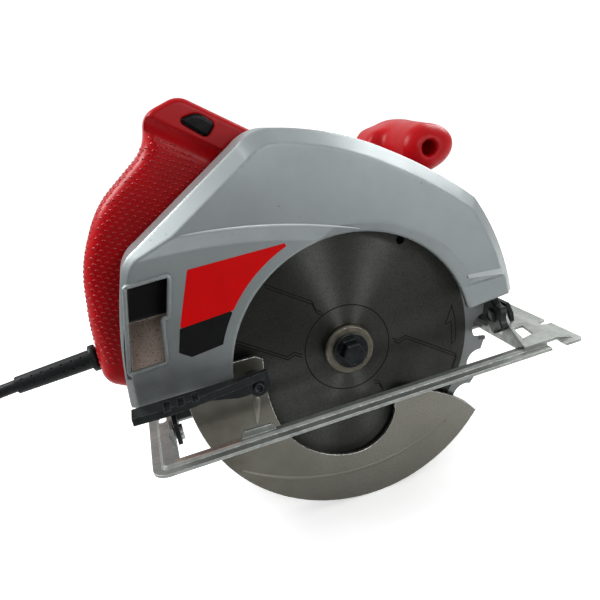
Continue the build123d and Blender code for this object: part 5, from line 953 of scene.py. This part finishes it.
@dataclass
class GripTexture:
    """Rows of small raised crescents moulded into the handle, on both sides and over the back."""

    row_turn: float = -29.0
    along_row: float = 4.2
    between_rows: float = 2.9
    length: float = 3.5
    width: float = 1.1
    rise: float = 0.5
    bend: float = 1.2
    tip_share: float = 0.9
    steps: int = 5
    around: int = 6
    rows_middle: tuple = (-95.0, 105.0)
    half_count: int = 60
    lowest: float = 46.0
    rearmost: float = -150.0
    margin: float = 1.5
    border: tuple = ((-75.9, 167.4), (-64.4, 159.0), (-56.1, 151.7), (-50.0, 128.0))
    # Each half of the handle: its node, the Y that rays start from and their way along Y
    sides: tuple = (("handle_right", -20.0, 1), ("handle_left", 120.0, -1))
    spine: tuple = ((-82.0, 163.0), (-117.5, 134.0), (-134.0, 105.0), (-139.5, 72.0), (-142.0, 44.0))
    spine_start: float = 4.0
    look_ahead: float = 6.0
    stand_off: float = 40.0
    back: tuple = (36.0, 60.0)
    seam: float = 48.0
    steepest: float = 0.72

    def flat_rows(self) -> np.ndarray:
        """Staggered places in X and Z under the border: a grid turned by the rows' slope.

        Returns:
            Array of n by 2.
        """
        turn = math.radians(self.row_turn)
        count = np.arange(-self.half_count, self.half_count)
        step, row = np.meshgrid(count, count, indexing="ij")
        u, v = (step + 0.5 * (row % 2)) * self.along_row, row * self.between_rows
        x = self.rows_middle[0] + u * math.cos(turn) - v * math.sin(turn)
        z = self.rows_middle[1] + u * math.sin(turn) + v * math.cos(turn)
        ends = np.array(self.border)
        ceiling = np.interp(x, ends[:, 0], ends[:, 1], left=ends[0, 1], right=-np.inf)
        inside = (z > self.lowest) & (z < ceiling - self.margin) & (x > self.rearmost)
        return np.stack([x[inside], z[inside]], 1)

    def side_rays(self) -> list[tuple[str, Vector, Vector, Vector]]:
        """Rays onto both sides of the handle.

        Returns:
            For each crescent the node, the ray's start, its way and the direction of the row there.
        """
        turn = math.radians(self.row_turn)
        row = Vector((math.cos(turn), 0, math.sin(turn)))
        return [
            (node, Vector((x, start, z)), Vector((0, way, 0)), row)
            for node, start, way in self.sides
            for x, z in self.flat_rows()
        ]

    def back_rays(self) -> list[tuple[str, Vector, Vector, Vector]]:
        """Rays onto the back of the handle, square to its spine, in staggered rows across it.

        Returns:
            For each crescent the node, the ray's start, its way and the direction of the row there.
        """
        line = np.array(self.spine)
        lengths = np.cumsum(np.linalg.norm(np.diff(line, axis=0, prepend=line[:1]), axis=1))
        across = np.arange(*self.back, self.along_row)
        found = []
        for row, distance in enumerate(np.arange(self.spine_start, lengths[-1], self.between_rows)):
            reach = [distance, distance + self.look_ahead]
            here, ahead = np.stack([np.interp(reach, lengths, along) for along in line.T], 1)
            down = (ahead - here) / np.linalg.norm(ahead - here)
            inward = Vector((-down[1], 0, down[0]))
            for y in across + self.along_row / 2 * (row % 2):
                node = "handle_right" if y < self.seam else "handle_left"
                start = Vector((here[0], y, here[1])) - self.stand_off * inward
                found.append((node, start, inward, Vector((0, 1, 0))))
        return found

    def crescent(self) -> Shell:
        """One crescent at the origin: an ellipse along a bent line that narrows towards each end.

        Across the line the half width is the width's half times the root of one minus the squared share of
        the length; the line bends by the square of the same share.

        Returns:
            A shell whose points are (along, across, out).
        """
        share = np.linspace(-self.tip_share, self.tip_share, self.steps)[:, None]
        turn = np.linspace(0, FULL_TURN, self.around, endpoint=False)
        size = np.sqrt(1 - share**2)
        along = np.repeat(share * self.length / 2, len(turn), 1)
        across = size * np.cos(turn) * self.width / 2 - self.bend * share**2 + self.bend / 3
        return tube(np.stack([along, across, size * np.sin(turn) * self.rise], -1))

    def build(self) -> bpy.types.Object:
        """Cast each ray onto its half and set a crescent along the surface there.

        Returns:
            The new piece.
        """
        trees = {node: surface_of(node) for node, _, _ in self.sides}
        spots, turns = [], []
        for node, start, way, row in self.side_rays() + self.back_rays():
            spot, normal, _, _ = trees[node].ray_cast(start * MM, way)
            if spot is None or normal.dot(-way) < self.steepest:
                continue
            along = (row - row.dot(normal) * normal).normalized()
            spots.append(spot / MM)
            turns.append([along, normal.cross(along), normal])
        one = self.crescent()
        placed = np.einsum("pk,nkc->npc", one.points, np.array(turns)) + np.array(spots)[:, None]
        shell = Shell.joined([Shell(points, one.faces) for points in placed])
        log.info("grip crescents: %d", len(spots))
        return dress(shell.piece("grip_crescents"), Look.RED_PATTERN, "saw_body")


@dataclass
class AuxHandle:
    """Front handle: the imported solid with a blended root, a deeper hole and a fuller near end."""

    axis: tuple = (77.0, 126.5)
    near: float = 16.0
    radius: float = 14.5
    hole: float = 4.9
    hole_floor: float = 23.0
    deeper: float = 3.0
    swell: float = 5.0
    swell_end: float = 52.0
    voxel: float = 0.8
    merge: float = 0.01
    blend_from: tuple = (36.0, 100.0)
    blend_over: tuple = (14.0, 15.0)
    blend_rounds: int = 140
    even_rounds: int = 8
    ease: float = 0.5

    def remeshed(self) -> tuple[np.ndarray, np.ndarray, list]:
        """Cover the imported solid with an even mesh: a voxel remesh of a merged copy.

        Returns:
            Points in millimetres, edges as pairs of places, and faces.
        """
        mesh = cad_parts["aux_handle"].data.copy()
        work = bmesh.new()
        work.from_mesh(mesh)
        bmesh.ops.remove_doubles(work, verts=work.verts, dist=self.merge * MM)
        work.to_mesh(mesh)
        work.free()
        copy = bpy.data.objects.new("aux_handle_copy", mesh)
        bpy.context.scene.collection.objects.link(copy)
        remesh = copy.modifiers.new("even", "REMESH")
        remesh.mode = "VOXEL"
        remesh.voxel_size = self.voxel * MM
        even = bpy.data.meshes.new_from_object(copy.evaluated_get(bpy.context.evaluated_depsgraph_get()))
        bpy.data.objects.remove(copy)
        points = np.empty(3 * len(even.vertices))
        even.vertices.foreach_get("co", points)
        edges = np.empty(2 * len(even.edges), int)
        even.edges.foreach_get("vertices", edges)
        faces = [list(face.vertices) for face in even.polygons]
        return points.reshape(-1, 3) / MM, edges.reshape(-1, 2), faces

    def eased(
        self, points: np.ndarray, edges: np.ndarray, share: np.ndarray | float, rounds: int
    ) -> np.ndarray:
        """Smooth a mesh: in each round a point moves by a share towards the mean of its neighbours.

        Args:
            points: array of n by 3.
            edges: pairs of places.
            share: how far a point moves, one for all or one for each.
            rounds: number of rounds.

        Returns:
            The moved points.
        """
        first, second = edges.T
        count = len(points)
        valence = np.bincount(edges.ravel(), minlength=count)[:, None]
        for _ in range(rounds):
            sums = [
                np.bincount(first, along[second], count) + np.bincount(second, along[first], count)
                for along in points.T
            ]
            points = points + share * (np.stack(sums, 1) / valence - points)
        return points

    def shaped(self, points: np.ndarray) -> np.ndarray:
        """Deepen the end's hole by a factor of its depth, and draw the front of the near end forward.

        The draw grows with the distance in front of the hole, and fades along the axis by a cosine.

        Args:
            points: array of n by 3.

        Returns:
            The moved points.
        """
        x, y, z = points.T
        reach = np.hypot(x - self.axis[0], z - self.axis[1])
        bored = (reach < self.hole) & (y < self.hole_floor)
        depth = np.where(bored, self.near + (y - self.near) * self.deeper, y)
        share = np.clip((y - self.near) / (self.swell_end - self.near), 0, 1)
        ahead = np.clip((x - self.axis[0] - self.hole) / (self.radius - self.hole), 0, 1)
        drawn = self.swell * ahead * (1 + np.cos(np.pi * share)) / 2
        return np.stack([x + np.where(bored, 0, drawn), depth, z], 1)

    def build(self) -> bpy.types.Object:
        """Make the handle over its solid, smoothed most where the grip meets its pylon.

        Returns:
            The new piece.
        """
        points, edges, faces = self.remeshed()
        points = self.eased(points, edges, self.ease, self.even_rounds)
        root = np.clip((points[:, 1:] - self.blend_from) / self.blend_over, 0, 1).prod(1, keepdims=True)
        points = self.shaped(self.eased(points, edges, self.ease * root, self.blend_rounds))
        piece = Shell(points, faces).piece("front_handle")
        dress(piece, Look.RED_NYLON, "saw_body")
        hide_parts("aux_handle")
        return piece


@dataclass
class HoodDress:
    """Trim on the hood: a plain label, the chute's bead, and a line under the crown and a step on the nose
    painted lighter as highlights.
    """

    arch_middle: tuple = (2.0, 24.0)
    arch_reach: float = 79.4
    label_top: tuple = ((-79.2, 99.6), (-20.5, 100.1))
    label_split: tuple = ((-90.7, 70.1), (-58.7, 70.2))
    label_low: tuple = ((-94.6, 57.4), (-88.7, 53.1), (-67.7, 53.6))
    label_thickness: float = 0.12
    label_round: float = 1.0
    label_steps: tuple = (10, 5)
    chute: tuple = (
        (-122.0, 53.0), (-101.8, 54.0), (-97.6, 78.0), (-94.4, 78.0), (-88.2, 99.6), (-111.5, 98.9),
    )
    chute_round: float = 1.4
    bead_width: float = 2.6
    bead_rise: float = 1.0
    ray_start: float = -60.0
    deepest_face: float = -11.0
    crest_middle: tuple = (-97.5, -197.7)
    crest_radius: float = 316.4
    crest_ends: tuple = ((-79.0, 118.0), (14.0, 97.5))
    crest_width: float = 1.5
    crest_rise: float = 0.3
    crest_steps: int = 61
    nose: tuple = ((74.0, 54.6), (95.8, 52.2))
    nose_width: tuple = (1.8, 2.8)
    nose_rise: tuple = (1.3, 2.4)
    nose_steps: int = 9

    def label(self) -> None:
        """Two flat plates with the arch's curve on one side: red above, black below."""
        split_left, split_right = self.label_split
        upper_steps, lower_steps = self.label_steps
        upper = arc(self.arch_middle, self.arch_reach, split_right, self.label_top[1], upper_steps)
        lower = arc(self.arch_middle, self.arch_reach, self.label_low[2], split_right, lower_steps)
        red = np.concatenate([[self.label_top[0], split_left], upper])
        black = np.concatenate([[split_left], self.label_low[:2], lower])
        fields = (("red_label", red, Look.LABEL_RED), ("black_label", black, Look.LABEL_BLACK))
        for name, outline, look in fields:
            shell = plate(rounded(outline, self.label_round), PANEL_FACE, self.label_thickness)
            dress(shell.piece(name, smooth=False), look, "saw_body")

    def bead(self) -> None:
        """A rounded bead along the chute's edge, set on the hood by rays, or level with the panel."""
        line = rounded(np.array(self.chute), self.chute_round)
        hood = surface_of("upper_guard")
        starts = [Vector((x, self.ray_start, z)) * MM for x, z in line]
        hits = [hood.ray_cast(start, Vector((0, 1, 0)))[0] for start in starts]
        found = np.array([np.inf if hit is None else hit.y / MM for hit in hits])
        face = np.where(found < self.deepest_face, found, PANEL_FACE)
        shell = ridge(line, self.bead_width, self.bead_rise, face, ROUND_SECTION, loop=True)
        dress(shell.piece("chute_bead"), Look.SILVER_ENAMEL, "saw_body")

    def crest(self) -> None:
        """A fine rounded line along the crown's lower edge, an arc that fades out at both ends, painted
        lighter as a highlight.
        """
        line = arc(self.crest_middle, self.crest_radius, *self.crest_ends, self.crest_steps)
        fade = faded(self.crest_steps)
        shell = ridge(line, self.crest_width * fade, self.crest_rise * fade, CROWN_FACE, ROUND_SECTION)
        # Painted highlight: the lighter enamel
        dress(shell.piece("crown_crest"), Look.SILVER_STEP_HIGHLIGHT, "saw_body")

    def nose_step(self) -> None:
        """A wedge across the nose: flush along its top, and proud along its foot to catch the light,
        painted lighter as a highlight.
        """
        spans = (np.array(self.nose), self.nose_width, self.nose_rise)
        line, width, rise = (np.linspace(*span, self.nose_steps) for span in spans)
        shell = ridge(line, width, rise, CROWN_FACE, WEDGE_SECTION)
        # Painted highlight: the lighter enamel
        dress(shell.piece("nose_step", smooth=False), Look.SILVER_STEP_HIGHLIGHT, "saw_body")

    def build(self) -> None:
        """Make the label, the bead, the crest and the step."""
        self.label()
        self.bead()
        self.crest()
        self.nose_step()


@dataclass
class BladePrint:
    """Dark lines printed on the blade's face: a circle, pairs of jogged lines and the turning arrow."""

    circle: float = 26.3
    circle_steps: int = 96
    weight: float = 0.7
    rise: float = 0.03
    spacing: float = 1.9
    lines: tuple = (
        ((-40.5, 76.9), (-15.9, 59.7), (-14.6, 54.0), (-11.0, 51.2)),
        ((-63.1, 49.5), (-36.6, 31.0), (-32.1, 32.5), (-28.0, 29.7)),
        ((28.5, 22.7), (31.5, 20.3), (37.1, 21.9), (68.6, -0.5), (64.2, -9.2)),
        ((12.4, -0.5), (15.2, -1.9), (17.3, -7.8)),
    )
    arrow: tuple = (
        (69.7, 32.7), (64.0, 22.2), (68.0, 22.9), (67.1, 12.3),
        (66.1, 7.9), (69.0, 9.3), (70.3, 16.0), (70.7, 24.5),
    )

    def build(self) -> bpy.types.Object:
        """Make every line as a thin flat ridge on the blade.

        Returns:
            The new piece.
        """
        turn = np.linspace(0, FULL_TURN, self.circle_steps, endpoint=False)
        ring = np.array([0, ARBOR_HEIGHT]) + self.circle * np.stack([np.cos(turn), np.sin(turn)], 1)
        stroke = (self.weight, self.rise, BLADE_FACE, FLAT_SECTION)
        shells = [ridge(outline, *stroke, loop=True) for outline in (ring, np.array(self.arrow))]
        for line in self.lines:
            for side in (-0.5, 0.5):
                shells.append(ridge(np.array(line) + [0, side * self.spacing], *stroke))
        piece = Shell.joined(shells).piece("blade_print", smooth=False)
        return dress(piece, Look.BLADE_INK, "blade")


@dataclass
class GuardDress:
    """Details of the lower guard: a short bead under the lever, a long swage, and the lever's screw."""

    bead: tuple = ((-60.0, 17.5), (-63.2, 0.3))
    bead_width: tuple = (5.0, 2.2)
    bead_rise: float = 0.8
    bead_steps: int = 22
    bead_powers: tuple = (6, 4)
    thinnest: float = 0.02
    swage: tuple = (
        (-79.9, -24.7), (-46.7, -43.4), (-22.1, -50.1), (4.5, -51.5), (30.0, -47.0), (52.0, -38.0),
    )
    swage_width: float = 2.4
    swage_rise: float = 0.14
    swage_steps: int = 60
    swage_degree: int = 4
    screw: tuple = (-58.8, 28.6)
    screw_steps: int = 48
    shank: float = 2.0
    head_radius: float = 3.5
    head_rise: float = 2.0
    head_crown: float = 1.1
    head_rim: float = 0.15
    head_steps: int = 8
    socket: float = 1.9
    socket_depth: float = 1.5
    socket_draft: float = 0.97
    socket_middle: float = 0.05

    def pressed_bead(self) -> None:
        """Half-round bead that narrows along its length; its width and rise fall away at both ends."""
        share = np.linspace(0, 1, self.bead_steps)
        line = np.linspace(*np.array(self.bead), self.bead_steps)
        ends = [np.clip(1 - (2 * share - 1) ** power, self.thinnest, 1) for power in self.bead_powers]
        blunt, domed = np.sqrt(ends)
        width = np.interp(share, [0, 1], self.bead_width) * blunt
        shell = ridge(line, width, self.bead_rise * domed, GUARD_FACE, ROUND_SECTION)
        dress(shell.piece("guard_bead"), Look.GUARD_BEAD, "lower_guard")

    def pressed_swage(self) -> None:
        """Faint pressed line along the guard, a polynomial fitted to its points, faded at both ends."""
        across, up = np.array(self.swage).T
        x = np.linspace(across[0], across[-1], self.swage_steps)
        line = np.stack([x, np.polyval(np.polyfit(across, up, self.swage_degree), x)], 1)
        fade = faded(self.swage_steps)
        shell = ridge(line, self.swage_width * fade, self.swage_rise * fade, GUARD_FACE, ROUND_SECTION)
        dress(shell.piece("guard_swage"), Look.GUARD_BEAD, "lower_guard")

    def lever_screw(self) -> None:
        """Button-head screw: a dome turned about Y with a six-sided socket, and its shank behind.

        The socket's radius at each turn is the across-flats half over the cosine of the turn from the
        nearest flat's middle.
        """
        low, high = (np.array(corner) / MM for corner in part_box("guard_lever_screw"))
        top = low[1]
        seat, floor = top + self.head_rise, top + self.socket_depth
        turn = np.linspace(0, FULL_TURN, self.screw_steps, endpoint=False)
        circle = np.ones_like(turn)
        hexagon = self.socket / np.cos((turn + math.pi / 6) % (math.pi / 3) - math.pi / 6)
        dome = [
            (seat - self.head_rise * part, (self.head_radius - self.head_crown * part**2) * circle)
            for part in np.linspace(self.head_rim, 1.0, self.head_steps)
        ]
        rows = [
            (high[1], self.shank * circle),
            (seat, self.shank * circle),
            (seat, self.head_radius * circle),
            *dome,
            (top, hexagon),
            (floor, self.socket_draft * hexagon),
            (floor, self.socket_middle * circle),
        ]
        y, radius = (np.array(term) for term in zip(*rows))
        x, z = self.screw[0] + radius * np.cos(turn), self.screw[1] + radius * np.sin(turn)
        piece = tube(np.stack([x, y[:, None] * circle, z], -1)).piece("lever_screw", smooth=False)
        dress(piece, Look.BLACK_OXIDE, "lower_guard")
        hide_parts("guard_lever_screw")

    def build(self) -> None:
        """Make the bead, the swage and the screw."""
        self.pressed_bead()
        self.pressed_swage()
        self.lever_screw()


@dataclass
class Studio:
    """Camera at the photograph's angle, soft lights and a pale floor."""

    focal_px: float = 607.406
    image_px: float = 600.0
    sensor_mm: float = 36.0
    clip: tuple = (10.0, 50000.0)
    position: tuple = (-90.256, -318.887, 173.343)
    right: tuple = (0.942627, -0.2693892, -0.19718975)
    down: tuple = (-0.26900859, -0.26310488, -0.92650429)
    ahead: tuple = (0.19770866, 0.9263937, -0.32047777)
    floor_half: float = 4000.0
    floor_gap: float = 0.3
    # Painted shade and a painted pool of light on the paper, seen only in the light that it throws
    shade_edge: tuple = (-260.0, -150.0)
    shade_tone: tuple = (0.08, 0.95)
    light_pool_region: tuple = (("X", 100.0, 360.0), ("Y", -300.0, -420.0))
    light_pool_tone: float = 0.9
    paper_tone: tuple = (0.9, 0.9, 0.9, 1.0)
    paper_glow: float = 0.45
    # Light of the room: for each axis of the way looked, from where to where it grows, and its tones there
    room: tuple = (("Z", 0.05, 0.75, 0.12, 0.66), ("Y", -0.35, 0.6, 0.0, 0.38), ("X", -0.1, 0.9, 0.0, 0.25))
    backdrop: float = 1.1
    lights: tuple = (
        # name, place, aim, width, watts
        ("right_softbox", (620, 260, 520), (20, 0, 60), 420, 3.6),
        ("left_softbox", (-560, 180, 620), (-60, 30, 100), 300, 5.5),
        ("front_softbox", (110, -750, 290), (0, 0, 30), 140, 1.2),
        ("window_side_softbox", (440, -640, 190), (0, 0, 20), 140, 1.0),
    )

    def camera(self) -> None:
        """Set the camera from its rows: image right, image down and the way ahead."""
        data = bpy.data.cameras.new("photo_camera")
        data.sensor_width = self.sensor_mm
        data.lens = self.focal_px / self.image_px * self.sensor_mm
        data.clip_start, data.clip_end = (distance * MM for distance in self.clip)
        camera = bpy.data.objects.new("photo_camera", data)
        place = np.eye(4)
        place[:3, :3] = np.stack([self.right, -np.array(self.down), -np.array(self.ahead)], 1)
        place[:3, 3] = np.array(self.position) * MM
        camera.matrix_world = Matrix(place.tolist())
        bpy.context.scene.collection.objects.link(camera)
        bpy.context.scene.camera = camera

    def paper(self) -> bpy.types.Material:
        """White paper as the camera sees it; what it throws onto the saw carries painted shade in front and
        a painted pool of light at the right front.

        Returns:
            The floor's material.
        """
        made = bpy.data.materials.new("white_studio_paper")
        made.use_nodes = True
        tree = made.node_tree
        tree.nodes.clear()
        place = add_node(tree, "TexCoord", output="Object")
        # Painted shade: the thrown grey falls dark in front of the near edge
        near, far = (edge * MM for edge in self.shade_edge)
        dim, bright = self.shade_tone
        span = {"From Min": near, "From Max": far, "To Min": dim, "To Max": bright}
        depth = add_node(tree, "SeparateXYZ", {0: place}, "Y")
        front_shade = add_node(tree, "MapRange", {"Value": depth, **span})
        # Painted pool of light at the right front
        light_pool = within(tree, place, self.light_pool_region, self.light_pool_tone)
        tone = add_node(tree, "Math", {0: front_shade, 1: light_pool}, operation="ADD")
        grey = add_node(tree, "CombineColor", {0: tone, 1: tone, 2: tone})
        thrown = add_node(tree, "BsdfDiffuse", {"Color": grey})
        white = add_node(tree, "BsdfDiffuse", {"Color": self.paper_tone})
        glow = add_node(tree, "Emission", {"Strength": self.paper_glow})
        seen = add_node(tree, "AddShader", {0: white, 1: glow})
        camera = add_node(tree, "LightPath", output="Is Camera Ray")
        both = add_node(tree, "MixShader", {0: camera, 1: thrown, 2: seen})
        add_node(tree, "OutputMaterial", {"Surface": both})
        return made

    def floor(self) -> None:
        """A wide sheet of pale paper under the lowest point of the guard."""
        corners = self.floor_half * np.array([[-1, -1], [1, -1], [1, 1], [-1, 1]])
        points = np.column_stack([corners, np.full(4, FLOOR_Z - self.floor_gap)])
        sheet = Shell(points, [[0, 1, 2, 3]]).piece("paper_floor")
        sheet.data.materials.append(self.paper())

    def lamps(self) -> None:
        """Square soft lights, each aimed at a point of the saw."""
        for name, place, aim, width, watts in self.lights:
            data = bpy.data.lights.new(name, "AREA")
            data.shape = "SQUARE"
            data.size = width * MM
            data.energy = watts
            lamp = bpy.data.objects.new(name, data)
            lamp.location = Vector(place) * MM
            lamp.rotation_euler = (Vector(aim) - Vector(place)).to_track_quat("-Z", "Y").to_euler()
            bpy.context.scene.collection.objects.link(lamp)

    def world(self) -> None:
        """White room: bright behind and above, dim on the near side so that flat faces keep their tone."""
        world = bpy.data.worlds.new("white_room")
        world.use_nodes = True
        tree = world.node_tree
        tree.nodes.clear()
        way = add_node(tree, "TexCoord", output="Generated")
        light = 0.0
        for axis, low, high, dim, bright in self.room:
            span = {"From Min": low, "From Max": high, "To Min": dim, "To Max": bright}
            along = add_node(tree, "SeparateXYZ", {0: way}, axis)
            ramp = add_node(tree, "MapRange", {"Value": along, **span})
            light = add_node(tree, "Math", {0: light, 1: ramp}, operation="ADD")
        camera = add_node(tree, "LightPath", output="Is Camera Ray")
        strength = add_node(tree, "Mix", {0: camera, 2: light, 3: self.backdrop}, data_type="FLOAT")
        shade = add_node(tree, "Background", {"Color": (1, 1, 1, 1), "Strength": strength})
        add_node(tree, "OutputWorld", {"Surface": shade})
        bpy.context.scene.world = world

    def build(self) -> None:
        """Set the whole studio, with plain colours in the picture."""
        self.camera()
        self.floor()
        self.lamps()
        self.world()
        bpy.context.scene.view_settings.view_transform = "Standard"


@dataclass
class FrameDress:
    """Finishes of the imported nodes, which keep their shapes."""

    looks: dict = field(default_factory=lambda: NODE_LOOKS)

    def build(self) -> None:
        """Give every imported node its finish."""
        for look, names in self.looks.items():
            for name in names:
                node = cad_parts[name]
                node.data.materials.clear()
                node.data.materials.append(look.material())
        bare = set(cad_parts) - {name for names in self.looks.values() for name in names}
        log.info("nodes without a finish: %s", sorted(bare))


def main() -> None:
    """Build the sub-assemblies in order."""
    logging.basicConfig(level=logging.INFO, format="%(name)s: %(message)s")
    parts = (
        Studio, MainsCord, FrameDress, StrainRelief, GripTexture,
        AuxHandle, HoodDress, BladePrint, GuardDress,
    )
    for part in parts:
        part().build()
        log.info("built %s", part.__name__)
    bpy.context.view_layer.update()


if __name__ == "__main__":
    main()
